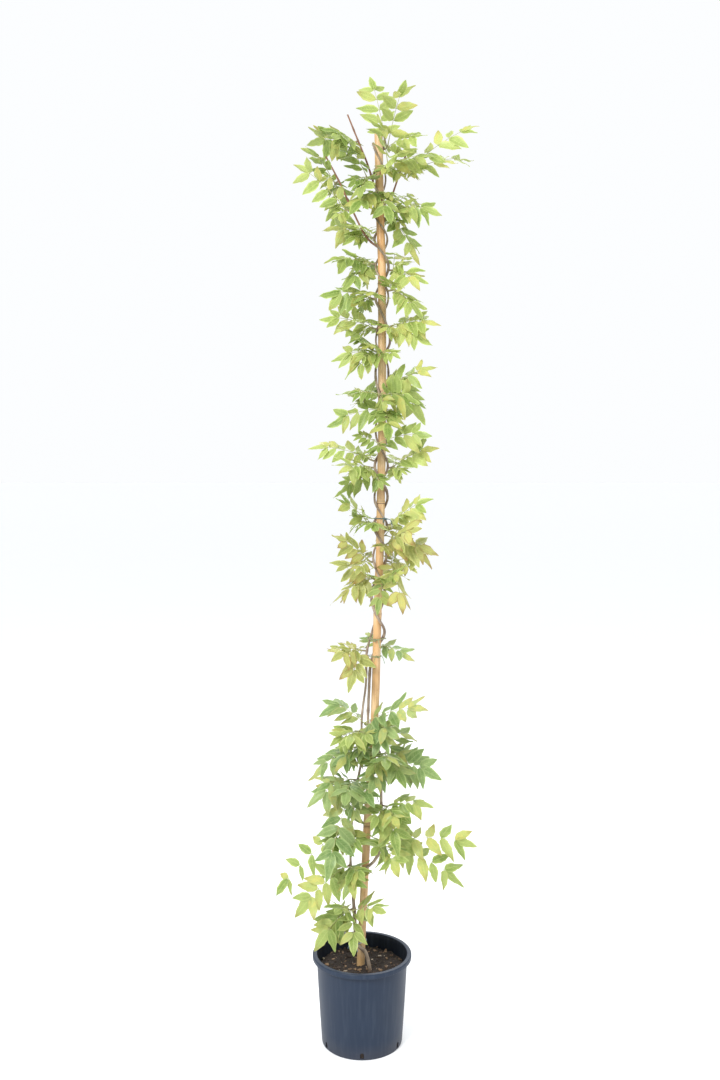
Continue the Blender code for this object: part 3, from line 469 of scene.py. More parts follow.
def caneX(height):
    line = cane["line"]
    if height <= line[0][0]:
        return line[0][1]
    for (low, left), (high, right) in zip(line, line[1:]):
        if height <= high:
            return left + (right - left) * (height - low) / (high - low)
    return line[-1][1]


def caneFinish():
    made, tree, shader = newFinish("bamboo", 0.5)
    joint, internode, cut = marksOf(tree)
    fibres = grain(tree, ownPlace(tree, (420, 420, 7)), 1.0, 5.0, 0.6)
    clouds = grain(tree, ownPlace(tree, (40, 40, 14)), 1.0, 4.0)
    base = mixColours(tree, spread(tree, internode, 0.3, 0.9), cane["colour"], cane["warmColour"])
    base = tint(tree, base, cane["paleColour"], clouds, 0.45, 0.7, 0.0, 0.7)
    base = tint(tree, base, cane["fibreColour"], fibres, 0.42, 0.75, 0.0, 0.55)
    spots = spread(tree, grain(tree, ownPlace(tree, (160, 160, 60)), 1.0, 5.0, 0.7), 0.64, 0.72, 0.0, 0.75)
    base = mixColours(tree, spots, base, cane["markColour"])
    # the joint mark darkens the rings at the joints, and paints shade down the bore
    base = tint(tree, base, cane["markColour"], joint, 0.15, 0.9, 0.0, 0.85)
    base = mixColours(tree, cut, base, cane["cutColour"])
    dull = spread(tree, clouds, 0.3, 0.7, 0.36, 0.6)
    wire(tree, shader, base, dull, relief(tree, fibres, 0.35, 0.0004))
    return made


def makeCane():
    heights = []
    height = cane["foot"]
    while height < cane["top"]:
        heights.append(height)
        near = min(abs(height - joint) for joint in cane["joints"])
        height += cane["fineStep"] if near < cane["jointReach"] else cane["step"]
    heights.append(cane["top"])
    rng = random.Random(cane["seed"])
    tones = [rng.random() for _ in range(len(cane["joints"]) + 1)]
    line, radii, marks = [], [], []
    for height in heights:
        # a joint is a raised ridge with a groove under it and a lower shoulder above
        joint = min(cane["joints"], key=lambda j: abs(height - j))
        off = (height - joint) / cane["jointScale"]
        swell = cane["ridge"] * math.exp(-(off / 1.5) ** 2)
        swell -= cane["groove"] * math.exp(-((off + 1.3) / 0.45) ** 2)
        swell += cane["shoulder"] * math.exp(-((off - 1.6) / 0.6) ** 2)
        radius = cane["radius"] - cane["skin"] + swell + cane["waver"] * noise(Vector((0, 0, height * 9)))
        line.append(Vector((caneX(height), 0.0, height)))
        radii.append(radius)
        ring = max(math.exp(-((off + 1.3) / 0.6) ** 2), 0.55 * math.exp(-((off - 1.2) / 0.8) ** 2))
        marks.append((ring, tones[sum(height > j for j in cane["joints"])], 0.0))
    sides = cane["sides"]

    def shape(i, angle):
        around = Vector((math.cos(angle) * 2, math.sin(angle) * 2, line[i].z * 25))
        return 1.0 + cane["unround"] * noise(around)

    points, faces = sweep(line, radii, sides, shape, caps=False)
    faces.append(tuple(range(sides))[::-1])
    sheet = newSheet()
    addTo(sheet, points, faces, 0, [mark for mark in marks for _ in range(sides)])
    # sawn top: rim, then the wall of the bore down to its blind end, painted darker towards the end as shade
    # in the hole
    last = (len(line) - 1) * sides
    centre = line[-1]
    rim = [centre + (point - centre).normalized() * cane["boreRadius"] for point in points[last:]]
    deep = [point - Vector((0, 0, cane["boreDepth"])) for point in rim]
    faces = [(low + k, low + (k + 1) % sides, low + sides + (k + 1) % sides, low + sides + k)
             for low in (0, sides) for k in range(sides)]
    faces.append(tuple(range(2 * sides, 3 * sides)))
    addTo(sheet, points[last:] + rim + deep, faces, 0,
          [(0.0, 0.5, 1.0)] * sides * 2 + [(0.9, 0.5, 0.0)] * sides)
    mesh = sheetMesh("cane", sheet, [caneFinish()])
    mesh.set_sharp_from_angle(angle=math.radians(cane["sharpAngle"]))
    placePiece("bamboo_cane_finished", mesh, "bamboo_cane")


# stems
stems = {
    "rowsA": (  # height, turns round the cane (whole at its front) and gap to its skin
        (0.74, -0.30, 0.0100), (0.81, 0.00, 0.0012), (0.86, 0.22, 0.0012), (1.00, 0.34, 0.0010),
        (1.085, 0.75, 0.0050), (1.125, 1.00, 0.0012), (1.22, 1.45, 0.0020), (1.325, 2.00, 0.0010),
        (1.40, 2.55, 0.0020), (1.475, 3.00, 0.0030), (1.57, 3.60, 0.0012), (1.675, 4.00, 0.0010),
        (1.77, 4.35, 0.0012), (1.83, 4.75, 0.0060), (1.895, 5.00, 0.0012), (1.97, 5.45, 0.0010),
        (2.05, 6.00, 0.0010), (2.13, 6.60, 0.0015), (2.19, 7.00, 0.0012), (2.27, 7.45, 0.0010),
        (2.36, 7.80, 0.0010)),
    "rowsB": (
        (0.74, 0.25, 0.0135), (0.86, 0.25, 0.0190), (0.95, 0.25, 0.0120), (1.03, 0.28, 0.0120),
        (1.10, 0.42, 0.0015), (1.17, 0.70, 0.0012), (1.225, 0.97, 0.0012), (1.325, 1.50, 0.0010),
        (1.40, 2.05, 0.0010), (1.475, 2.50, 0.0040), (1.57, 3.10, 0.0010), (1.675, 3.50, 0.0010),
        (1.77, 3.85, 0.0010), (1.83, 4.25, 0.0010), (1.895, 4.50, 0.0010), (1.97, 4.95, 0.0010),
        (2.05, 5.50, 0.0030), (2.13, 6.10, 0.0010), (2.19, 6.50, 0.0010), (2.27, 6.95, 0.0010),
        (2.32, 7.20, 0.0010)),
    "trunk": (
        (0.034, -0.030, 0.120), (0.023, -0.024, 0.190), (0.009, -0.019, 0.243), (-0.013, -0.013, 0.268),
        (-0.021, -0.003, 0.354), (-0.023, 0.000, 0.400)),
    "trunkToA": (
        (-0.023, 0.000, 0.400), (-0.018, -0.012, 0.435), (0.004, -0.020, 0.462), (0.036, -0.010, 0.490),
        (0.048, -0.004, 0.530), (0.050, -0.003, 0.630), (0.049, 0.002, 0.700)),
    "trunkToB": (
        (-0.023, 0.000, 0.400), (-0.030, 0.002, 0.470), (-0.028, 0.000, 0.560), (-0.021, 0.000, 0.640)),
    "stubs": (  # stem, height of the fork, then the points up to the pruned end
        ("a", 2.215, ((0.012, -0.030, 2.265), (-0.010, -0.040, 2.315), (-0.036, -0.050, 2.375))),
        ("a", 2.150, ((0.094, 0.022, 2.250), (0.120, 0.036, 2.328))),
        ("a", 2.058, ((0.010, -0.026, 2.085), (-0.025, -0.030, 2.150), (-0.058, -0.032, 2.220),
                      (-0.090, -0.040, 2.277)))),
    "step": 0.042, "turnStep": 0.125, "clear": 0.0028, "lowerSwell": 0.0003, "stubStep": 1.4,
    "trunkRadius": 0.0050, "radiusA": (0.0040, 0.0029), "radiusB": (0.0033, 0.0023), "stubRadius": 0.0027,
    "sides": 12, "fineStep": 0.005,
    "spurKnot": 0.35, "budKnot": 0.18, "budSteps": (17, 23), "knotReach": 0.006, "knotEnd": 0.02,
    "rootFlare": 0.35, "stubTaper": 0.25, "waver": 0.10, "cutRise": 0.0004,
    "colour": (0.180, 0.125, 0.088), "paleColour": (0.380, 0.300, 0.225),
    "greenColour": (0.200, 0.170, 0.095), "stubColour": (0.230, 0.085, 0.045),
    "cutColour": (0.520, 0.400, 0.260), "wrinkleColour": (0.060, 0.041, 0.030),
    "poreColour": (0.300, 0.240, 0.180), "ringColour": (0.050, 0.034, 0.026),
}


def smoothValue(rows, column, height):
    # one column of the rows, smooth from height to height
    if height <= rows[0][0]:
        return rows[0][column]
    for index in range(len(rows) - 1):
        low, high = rows[index], rows[index + 1]
        if height <= high[0]:
            before = rows[max(index - 1, 0)]
            after = rows[min(index + 2, len(rows) - 1)]
            span = high[0] - low[0]
            share = (height - low[0]) / span
            slopeLow = (high[column] - before[column]) / max(high[0] - before[0], 1e-6) * span
            slopeHigh = (after[column] - low[column]) / max(after[0] - low[0], 1e-6) * span
            a = 2 * share ** 3 - 3 * share ** 2 + 1
            b = share ** 3 - 2 * share ** 2 + share
            c = share ** 3 - share ** 2
            return a * low[column] + b * slopeLow + (1 - a) * high[column] + c * slopeHigh
    return rows[-1][column]


def stemRadius(stem, height):
    rows, (foot, tip) = stems["rows" + stem.upper()], stems["radius" + stem.upper()]
    share = (height - rows[0][0]) / (rows[-1][0] - rows[0][0])
    return foot + (tip - foot) * min(max(share, 0.0), 1.0)


def stemPoint(stem, height):
    rows = stems["rows" + stem.upper()]
    turns = smoothValue(rows, 1, height)
    gap = max(smoothValue(rows, 2, height), stems["clear"])
    angle = math.radians(270.0 - 360.0 * turns)
    reach = cane["radius"] + stemRadius(stem, height) + gap
    return Vector((caneX(height) + reach * math.cos(angle), reach * math.sin(angle), height))


def stemHeights(rows):
    # heights of the frame's own stations, closer where the stem turns fast
    heights, height, top = [], rows[0][0], rows[-1][0]
    while height < top - 0.5 * stems["step"]:
        step = stems["step"]
        while abs(smoothValue(rows, 1, height + step) - smoothValue(rows, 1, height)) > stems["turnStep"]:
            step *= 0.9
        height = min(height + step, top)
        heights.append(height)
    return heights


def stemLines(fine=False):
    # centre lines and radii of the trunk, its two stems and the pruned stubs, as the frame has them or finer
    step = stems["fineStep"] if fine else stems["step"]
    trunk = smoothLine(stems["trunk"], step)
    lines = {"t": (trunk, [stems["trunkRadius"]] * len(trunk))}
    for stem in ("a", "b"):
        rows = stems["rows" + stem.upper()]
        foot = stems["radius" + stem.upper()][0] + stems["lowerSwell"]
        low, high = rows[0][0], rows[-1][0]
        lower = smoothLine(stems["trunkTo" + stem.upper()] + (tuple(stemPoint(stem, low)),), step)
        heights = stemHeights(rows)
        if fine:
            count = round((high - low) / step)
            heights = [low + (high - low) * (k + 1) / count for k in range(count)]
        lines[stem] = (lower + [stemPoint(stem, height) for height in heights],
                       [foot] * len(lower) + [stemRadius(stem, height) for height in heights])
    stubStep = step * (1.0 if fine else stems["stubStep"])
    for index, (stem, height, points) in enumerate(stems["stubs"]):
        line = smoothLine((tuple(stemPoint(stem, height)),) + points, stubStep)
        lines["s" + str(index + 1)] = (line, [stems["stubRadius"]] * len(line))
    return lines


def barkFinish():
    made, tree, shader = newFinish("bark", 0.8)
    stub, cut, ring = marksOf(tree)
    wrinkles = grain(tree, ownPlace(tree, (520, 520, 110)), 1.0, 6.0, 0.65)
    clouds = grain(tree, ownPlace(tree, (60, 60, 30)), 1.0, 4.0)
    base = mixColours(tree, spread(tree, clouds, 0.35, 0.7), stems["colour"], stems["paleColour"])
    height = heightOf(tree)
    base = tint(tree, base, stems["greenColour"], height, 1.3, 2.4, 0.0, 0.45)
    above, below = spread(tree, height, 0.35, 0.50), spread(tree, height, 1.0, 1.1, 0.5, 0.0)
    base = mixColours(tree, times(tree, above, below), base, stems["paleColour"])
    base = tint(tree, base, stems["wrinkleColour"], wrinkles, 0.45, 0.72, 0.0, 0.55)
    base = mixColours(tree, times(tree, stub, 0.75), base, stems["stubColour"])
    pores = addNode(tree, "ShaderNodeTexVoronoi", {"Vector": ownPlace(tree, (330, 330, 190)), "Scale": 1.0})
    base = tint(tree, base, stems["poreColour"], pores.outputs["Distance"], 0.08, 0.2, 0.7, 0.0)
    base = mixColours(tree, times(tree, ring, 0.6), base, stems["ringColour"])
    base = mixColours(tree, cut, base, stems["cutColour"])
    wire(tree, shader, base, None, relief(tree, wrinkles, 0.7, 0.0009))
    return made


def makeStems(spurFeet, lines):
    # bark swells where a spur stands and at the old buds between
    sheet = newSheet()
    sides = stems["sides"]
    for name, (line, radii) in lines.items():
        rng = random.Random(name)
        stub = 1.0 if name.startswith("s") else 0.0
        wide, marks = [], []
        knots = [(foot, stems["spurKnot"]) for foot in spurFeet]
        knots += [(line[k], stems["budKnot"]) for k in range(6, len(line), rng.randint(*stems["budSteps"]))]
        for i, (spot, radius) in enumerate(zip(line, radii)):
            near = [((spot - knot).length, size) for knot, size in knots]
            swell = max([0.0] + [size * math.exp(-(far / stems["knotReach"]) ** 2) for far, size in near
                                 if far < stems["knotEnd"]])
            taper = 1.0 - stems["stubTaper"] * stub * i / len(line)
            flare = stems["rootFlare"] * math.exp(-i / 6) if name == "t" else 0.0
            wide.append(radius * (0.94 + swell + flare + stems["waver"] * noise(spot * 45)) * taper)
            marks.append((stub * min(1.0, i / 6), 0.0, min(1.0, swell * 2.2)))

        def shape(i, angle):
            around = Vector((math.cos(angle), math.sin(angle), 0.0))
            return 1.0 + 0.09 * noise(around * 1.3 + line[i] * 70) + 0.05 * noise(around * 3 + line[i] * 240)

        points, faces = sweep(line, wide, sides, shape)
        caps, faces = faces[-2:], faces[:-2]
        addTo(sheet, points, faces + caps[:1], 0, [mark for mark in marks for _ in range(sides)])
        end = points[-sides:]
        tip = sum(end, Vector()) / sides + (line[-1] - line[-2]).normalized() * stems["cutRise"]
        addTo(sheet, end + [tip], [(k, (k + 1) % sides, sides) for k in range(sides)], 0,
              [(0.0, 1.0, 0.0)] * (sides + 1))
    placePiece("stems_finished", sheetMesh("stems", sheet, [barkFinish()]), "twining_stems")


# ties
ties = {
    "rows": (  # name, height, stems held, radius of the cord, side of the knot in degrees, colour
        ("tie_trunk", 0.268, "t", 0.0012, 235, (0.120, 0.180, 0.210)),
        ("tie_low", 0.660, "", 0.0014, 300, (0.060, 0.065, 0.070)),
        ("tie_middle_lower", 1.022, "ab", 0.0010, 285, (0.110, 0.170, 0.060)),
        ("tie_middle_upper", 1.066, "ab", 0.0018, 250, (0.180, 0.180, 0.080)),
        ("tie_high", 1.378, "ab", 0.0012, 295, (0.030, 0.090, 0.095))),
    "gap": 0.0004, "slack": 0.0012, "sway": 0.0008,
    "stations": 84, "sides": 12, "strands": 3, "twist": 30,
    "knotPoints": 40, "knotSides": 10, "knotThick": 0.95, "tail": (0.010, 0.020), "tailStep": 0.0012,
}


def cordFinish(name, colour):
    made, tree, shader = newFinish("cord_" + name, 0.65)
    fuzz = grain(tree, ownPlace(tree), 1500.0, 3.0)
    fade = grain(tree, ownPlace(tree), 130.0, 3.0)
    pale = tuple(min(1.0, value * 2.1 + 0.03) for value in colour)
    base = mixColours(tree, spread(tree, fade, 0.4, 0.75, 0.0, 0.8), colour, pale)
    dark = tuple(value * 0.45 for value in colour)
    base = tint(tree, base, dark, fuzz, 0.45, 0.7, 0.0, 0.5)
    shader.inputs["Sheen Weight"].default_value = 0.25
    wire(tree, shader, base, None, relief(tree, fuzz, 0.5, 0.0004))
    return made


def placeAt(line, radii, height):
    # where the line passes a height, and how thick it is there
    for low, high, radius in zip(line, line[1:], radii):
        if low.z <= height <= high.z:
            return low.lerp(high, (height - low.z) / (high.z - low.z)).xy, radius
    return line[-1].xy, radii[-1]


def makeTie(lines, name, height, held, cord, knotSide, colour):
    # a loop drawn round the cane and what it holds, a knot of three lobes, and two short ends
    rounds = [(Vector((caneX(height), 0.0)), cane["radius"])]
    for stem in held:
        centre, radius = placeAt(*lines[stem], height)
        rounds.append((centre, radius * 1.1 + ties["slack"]))
    loop = []
    count = ties["stations"]
    for step in range(count):
        angle = 2 * math.pi * step / count
        way = Vector((math.cos(angle), math.sin(angle)))
        centre, radius = max(rounds, key=lambda item: item[0].dot(way) + item[1])
        spot = centre + way * (radius + cord + ties["gap"])
        loop.append(Vector((spot.x, spot.y, height + ties["sway"] * math.sin(angle * 2 + height * 50))))
    for _ in range(2):  # draws the straights between what it holds taut and even
        loop = [(loop[k - 1] + loop[k] * 2 + loop[(k + 1) % count]) / 4 for k in range(count)]

    def strands(i, angle):
        turned = angle - 2 * math.pi * ties["twist"] * i / count / 3
        return 0.88 + 0.14 * math.cos(ties["strands"] * turned)

    sheet = newSheet()
    addTo(sheet, *sweep(loop, [cord] * count, ties["sides"], strands, closed=True))
    turn = math.radians(knotSide)
    out = Vector((math.cos(turn), math.sin(turn), 0.0))
    base = max(loop, key=lambda spot: (spot - Vector((caneX(height), 0.0, 0.0))).xy.dot(out.xy))
    across = Vector((-out.y, out.x, 0.0))
    middle = base + out * cord * 1.5
    thick, knotPoints = cord * ties["knotThick"], ties["knotPoints"]
    knot = []
    for k in range(knotPoints):
        t = 2 * math.pi * k / knotPoints
        knot.append(middle + thick * (across * (math.sin(t) + 2 * math.sin(2 * t)) * 0.8
                                      + Vector((0, 0, 1)) * (math.cos(t) - 2 * math.cos(2 * t)) * 0.62
                                      - out * math.sin(3 * t) * 0.9))
    addTo(sheet, *sweep(knot, [thick] * knotPoints, ties["knotSides"], closed=True))

    def tailStrands(i, angle):
        return 0.9 + 0.12 * math.cos(3 * (angle - i * 0.35))

    rng = random.Random(name)
    for side in (-1, 1):
        long = rng.uniform(*ties["tail"]) + cord * 4
        start = middle + across * side * cord * 1.2
        rise = Vector((0, 0, rng.uniform(-0.1, 0.25) * long))
        bend = start + (out * 0.5 + across * side * 0.6) * long * 0.55 + rise
        end = bend + across * side * long * 0.25 + out * long * 0.1 - Vector((0, 0, long * 0.75))
        tail = smoothLine((start, bend, end), ties["tailStep"])
        radii = [cord * (0.92 - 0.12 * k / len(tail)) for k in range(len(tail))]
        addTo(sheet, *sweep(tail, radii, ties["knotSides"], tailStrands))
    placePiece(name + "_cord", sheetMesh(name, sheet, [cordFinish(name, colour)]), name)


# leaves
leaves = {
    # form of a leaf, as in the frame
    "ribWidth": 0.0022, "root": 0.0042, "petioleShare": 0.17,
    "lean": 66.0, "leanSpread": (-8, 6), "leanLoss": 14, "arch": 0.15, "tipFall": 0.06, "sag": 0.05,
    "droop": (8.0, 16.0), "droopSpread": 12, "roll": (28.0, 34.0), "turnedRound": 0.9,
    "sizeSpread": (0.92, 1.06), "shortest": 2.3,
    # form of a spur and where it stands on its stem
    "spurRadius": 0.0022, "spurGap": 0.0005, "spurLength": 0.016, "spurFoot": 0.004, "spurBend": (0.7, 0.4),
    "leafGap": (0.002, 0.004), "window": 0.060, "shiftCost": 6, "tipMatch": 0.0015, "seed": 1000,
    # what the finer leaves add
    "morePairs": 1, "aspectFine": 0.46, "leafStem": 0.0010, "sway": 13.0, "swayAcross": (-1.3, 0.7),
    "fineSize": (0.84, 1.06), "fold": (-12, 26), "curl": 30.0, "wave": (0.04, 0.16), "hang": (-0.05, 0.09),
    "lopsided": 0.06, "marginWave": 0.07,
    "rowsAlong": (0.0, 0.04, 0.12, 0.22, 0.33, 0.44, 0.55, 0.66, 0.76, 0.85, 0.92, 0.97, 1.0),
    "columns": (-1.0, -0.55, 0.0, 0.55, 1.0),
    "ribSteps": 22, "ribSides": 7, "ribThick": 0.00095, "ribSwell": 0.0010, "ribTaper": 0.00040,
    "stalkRadii": (0.00065, 0.00075, 0.00045), "stalkSides": 5, "stalkInto": 0.0012, "stalkDip": 0.0002,
    "spurSides": 9, "spurStep": 0.0012, "spurBury": 0.0022,
    # young leaves at the foot of a spray
    "young": 2, "youngPairs": 4, "youngTries": 8, "youngSeed": 4400,
    "youngLength": (0.055, 0.090), "youngLeaflet": (0.028, 0.038),
    "youngTurn": (25, 80), "youngRise": (-0.7, 0.6), "youngRoll": (15, 45), "youngDroop": (12, 30),
    "bigBelow": 0.95, "bigShare": 1.5,
    "crossAbove": 0.45, "crossAside": (0.45, 0.75), "crossForward": 1.15, "crossRise": (-0.6, 0.1),
    "clearShares": (0.45, 0.7, 1.0), "caneSpacing": 0.03, "caneSpots": (8, 79),
    # colours
    "light": ((0.190, 0.280, 0.045), (0.440, 0.500, 0.165)),
    "mid": ((0.125, 0.215, 0.034), (0.370, 0.440, 0.130)),
    "dark": ((0.080, 0.155, 0.028), (0.290, 0.370, 0.110)),
    "blue": ((0.100, 0.190, 0.042), (0.330, 0.420, 0.160)),
    "olive": ((0.210, 0.250, 0.050), (0.480, 0.490, 0.170)),
    "yellow": (0.560, 0.500, 0.130), "rust": (0.230, 0.095, 0.025), "scorch": 0.35, "scorchOlive": 0.85,
    "stalkColour": (0.300, 0.330, 0.110), "stalkPale": (0.400, 0.400, 0.170),
    "stalkDark": (0.140, 0.120, 0.050), "spurColour": (0.180, 0.130, 0.070),
}
# name, colour, stem, height or share of a stub, then each leaf: tip, leaflet pairs and length, in centimetres
# stems: t trunk, a and b where they lie at the cane, r and l the same two lower down, s1 to s3 the stubs
sprays = (
    ("crown", "light", "a", 2.355, ((9, -9, 245, 3, 5.8), (2, 6, 251, 4, 5.4), (16, -5, 238, 3, 5.0))),
    ("top_front", "light", "b", 2.28, ((-2, -6, 236, 3, 5.0), (9, -8, 228, 3, 5.2), (19, -1, 230, 3, 5.6))),
    ("front_226", "mid", "a", 2.26, ((-3, -8, 228, 3, 5.4), (6, -10, 221, 3, 5.2))),
    ("stub_right", "light", "s2", 0.62, ((29, -3, 236, 4, 5.6), (29, 3, 230, 4, 5.4))),
    ("stub_left", "mid", "s1", 0.20, ((-14, 3, 233, 4, 5.8), (-10, -6, 225, 4, 5.6))),
    ("stub_low_tip", "light", "s3", 0.48, ((-17, -4, 226, 3, 5.2),)),
    ("front_221", "mid", "a", 2.22, ((-4, -9, 214, 3, 5.2), (6, -11, 213, 3, 5.4))),
    ("right_219", "mid", "a", 2.19, ((20, -3, 214, 4, 5.4), (14, 10, 222, 3, 5.0))),
    ("front_214", "light", "a", 2.14, ((8, -8, 206, 3, 5.8), (-9, -5, 210, 3, 5.4))),
    ("stub_low_base", "mid", "s3", 0.16, ((-11, -7, 221, 3, 5.6), (-5, 11, 212, 3, 5.4))),
    ("right_208", "mid", "a", 2.11, ((13, -4, 202, 3, 5.4),)),
    ("left_204", "mid", "b", 2.04, ((-8, -4, 202, 3, 5.6), (-3, -7, 195, 3, 5.0), (-2, 11, 203, 3, 5.2))),
    ("right_201", "light", "a", 2.01, ((13, -6, 196, 3, 5.4), (9, 12, 205, 2, 5.0))),
    ("low_198", "mid", "a", 1.98, ((-8, -3, 194, 3, 5.6), (2, -9, 193, 3, 5.4))),
    ("right_197", "light", "b", 1.94, ((12, -5, 191, 3, 5.4),)),
    ("left_190", "light", "b", 1.90, ((-11, 2, 189, 3, 5.2), (1, -9, 184, 3, 5.2))),
    ("right_184", "light", "a", 1.85, ((18, -5, 188, 4, 5.4), (16, -7, 182, 3, 5.2))),
    ("left_184", "mid", "b", 1.84, ((-3, -6, 184, 3, 5.0),)),
    ("left_181", "light", "b", 1.79, ((-5, -2, 180, 3, 5.4), (-1, -5, 177, 2, 4.8))),
    ("right_172", "mid", "a", 1.72, ((19, -1, 176, 3, 5.4), (15, -8, 167, 3, 5.8))),
    ("left_172", "mid", "b", 1.73, ((-3, -6, 170, 3, 5.4), (-3, 10, 170, 3, 5.2))),
    ("right_167", "mid", "b", 1.69, ((16, -4, 162, 3, 5.6),)),
    ("left_165", "mid", "a", 1.65, ((8, -9, 165, 3, 5.2), (-9, -3, 163, 3, 5.6))),
    ("right_161", "mid", "b", 1.61, ((18, -3, 159, 3, 5.0),)),
    ("left_158", "light", "a", 1.58, ((-14, 1, 156, 4, 5.2),)),
    ("left_154", "light", "a", 1.54, ((-6, -7, 150, 3, 5.6),)),
    ("right_151", "light", "b", 1.51, ((19, -3, 156, 3, 5.6), (10, 10, 153, 2, 5.6))),
    ("left_146", "mid", "a", 1.46, ((-3, -6, 147, 3, 5.0), (0, 11, 144, 3, 5.0))),
    ("right_144", "light", "b", 1.42, ((16, -3, 142, 3, 5.4),)),
    ("left_141", "mid", "a", 1.41, ((-3, -2, 142, 2, 4.8), (3, -7, 136, 2, 5.0))),
    ("right_136", "olive", "a", 1.37, ((19, -3, 129, 3, 5.8), (15, -7, 137, 3, 5.4))),
    ("right_131", "olive", "b", 1.33, ((12, -9, 127, 3, 5.4),)),
    ("left_130", "olive", "b", 1.30, ((-6, -4, 133, 3, 5.2),)),
    ("left_127", "olive", "a", 1.27, ((-7, 3, 126, 3, 5.2), (-2, -8, 121, 3, 5.6))),
    ("front_121", "olive", "a", 1.22, ((-1, -9, 118, 3, 5.4), (7, 10, 121, 2, 4.8))),
    ("front_117", "mid", "b", 1.17, ((4, -6, 115, 2, 3.8),)),
    ("left_104", "olive", "b", 1.03, ((-5, -5, 103, 2, 5.0), (0, -7, 94, 3, 5.4))),
    ("right_102", "blue", "a", 1.02, ((9, -6, 100, 2, 4.6),)),
    ("right_90", "blue", "a", 0.89, ((19, -4, 91, 4, 6.0), (10, -10, 87, 3, 5.8))),
    ("left_87", "light", "b", 0.83, ((-3, -9, 82, 3, 5.4),)),
    ("right_81", "dark", "a", 0.81, ((6, -10, 77, 3, 5.8), (13, 8, 82, 2, 5.4))),
    ("left_77", "blue", "b", 0.78, ((-14, -4, 71, 3, 5.8),)),
    ("right_73", "blue", "a", 0.75, ((20, -4, 70, 4, 6.2), (11, 10, 72, 2, 5.4))),
    ("left_71", "blue", "b", 0.71, ((-12, -3, 65, 4, 5.8), (-4, -10, 68, 3, 5.8))),
    ("center_62", "blue", "b", 0.64, ((-6, -12, 47, 4, 6.2),)),
    ("left_58", "mid", "b", 0.57, ((-23, 2, 38, 4, 5.0),)),
    ("right_62", "mid", "r", 0.61, ((16, -4, 64, 3, 5.4), (9, -9, 55, 3, 5.8))),
    ("right_54", "mid", "r", 0.545, ((30, -2, 53, 4, 5.8), (26, -7, 43, 4, 6.0), (13, -9, 54, 3, 5.4))),
    ("left_48", "mid", "l", 0.50, ((-18, -5, 36, 4, 5.8), (2, -9, 38, 3, 5.0))),
    ("left_40", "mid", "t", 0.40, ((-12, -8, 28, 3, 5.8),)),
    ("base_37", "light", "t", 0.355, ((-3, -8, 30, 2, 5.0),)),
)
# turns and lifts by which the frame moves a leaf clear of others, the smallest first
shifts = tuple(sorted(
    ((turn, lift) for turn in (0, 8, -8, 16, -16, 25, -25, 36, -36, 50, -50)
     for lift in (0.0, 0.015, -0.015, 0.03, -0.03, 0.05, -0.05)),
    key=lambda shift: abs(shift[0]) / 12 + abs(shift[1]) / 0.02))


def bladeFinish(tone):
    deep, fresh = leaves[tone]
    made, tree, shader = newFinish("leaf_" + tone + "_blade", 0.42)
    across, along, own = marksOf(tree)
    edge = reckon(tree, "ABSOLUTE", across)
    place = ownPlace(tree)
    mottle = grain(tree, place, 70.0, 4.0)
    fine = grain(tree, place, 650.0, 3.0)
    base = mixColours(tree, spread(tree, own, 0.0, 1.0), deep, fresh)
    base = tint(tree, base, fresh, mottle, 0.38, 0.68, 0.0, 0.45)
    old, patchy = spread(tree, own, 0.62, 0.95), spread(tree, mottle, 0.40, 0.60, 0.25, 0.85)
    aged = times(tree, old, patchy)
    base = mixColours(tree, aged, base, leaves["yellow"])
    base = tint(tree, base, deep, fine, 0.4, 0.7, 0.0, 0.25)
    # deeper green in the shade by the cane
    level = ownPlace(tree, (1, 1, 0))
    apart = addNode(tree, "ShaderNodeVectorMath", {0: level}, operation="LENGTH").outputs["Value"]
    shade = tuple(value * 0.8 for value in deep)
    base = tint(tree, base, shade, apart, 0.03, 0.13, 0.45, 0.0)
    # side veins run out and forward from the midrib
    run = reckon(tree, "SUBTRACT", times(tree, along, 8.5), times(tree, edge, 1.7))
    vein = spread(tree, reckon(tree, "PINGPONG", run, 0.5), 0.0, 0.075, 1.0, 0.0)
    vein = times(tree, vein, spread(tree, edge, 0.55, 1.0, 1.0, 0.15))
    midrib = spread(tree, edge, 0.015, 0.075, 1.0, 0.0)
    ribs = reckon(tree, "MAXIMUM", vein, midrib)
    paleRib = tuple(min(1.0, value * 1.35 + 0.04) for value in fresh)
    base = mixColours(tree, times(tree, ribs, 0.42), base, paleRib)
    # margins yellow a little and some tips scorch
    base = tint(tree, base, paleRib, edge, 0.55, 1.0, 0.0, 0.6)
    scorch = leaves["scorchOlive" if tone == "olive" else "scorch"]
    worn = reckon(tree, "ADD", grain(tree, place, 45.0, 4.0), own)
    worn = times(tree, worn, 0.5)
    rim = reckon(tree, "MAXIMUM", along, times(tree, edge, 0.92))
    burnt = times(tree, spread(tree, rim, 0.60, 0.92), spread(tree, worn, 0.47, 0.62))
    base = mixColours(tree, times(tree, burnt, scorch), base, leaves["rust"])
    specks = spread(tree, grain(tree, place, 210.0, 2.0), 0.70, 0.76, 0.0, scorch)
    base = mixColours(tree, specks, base, leaves["rust"])
    height = reckon(tree, "SUBTRACT", times(tree, fine, 0.3), ribs)
    normal = relief(tree, height, 0.45, 0.0005)
    wire(tree, shader, base, spread(tree, mottle, 0.3, 0.7, 0.36, 0.55), normal)
    glow = mixColours(tree, 0.55, base, tuple(min(1.0, value * 1.5) for value in fresh))
    through = addNode(tree, "ShaderNodeBsdfTranslucent", {"Color": glow, "Normal": normal}).outputs[0]
    both = addNode(tree, "ShaderNodeMixShader", {0: 0.30, 1: shader.outputs[0], 2: through}).outputs[0]
    tree.links.new(both, tree.nodes["Material Output"].inputs["Surface"])
    return made


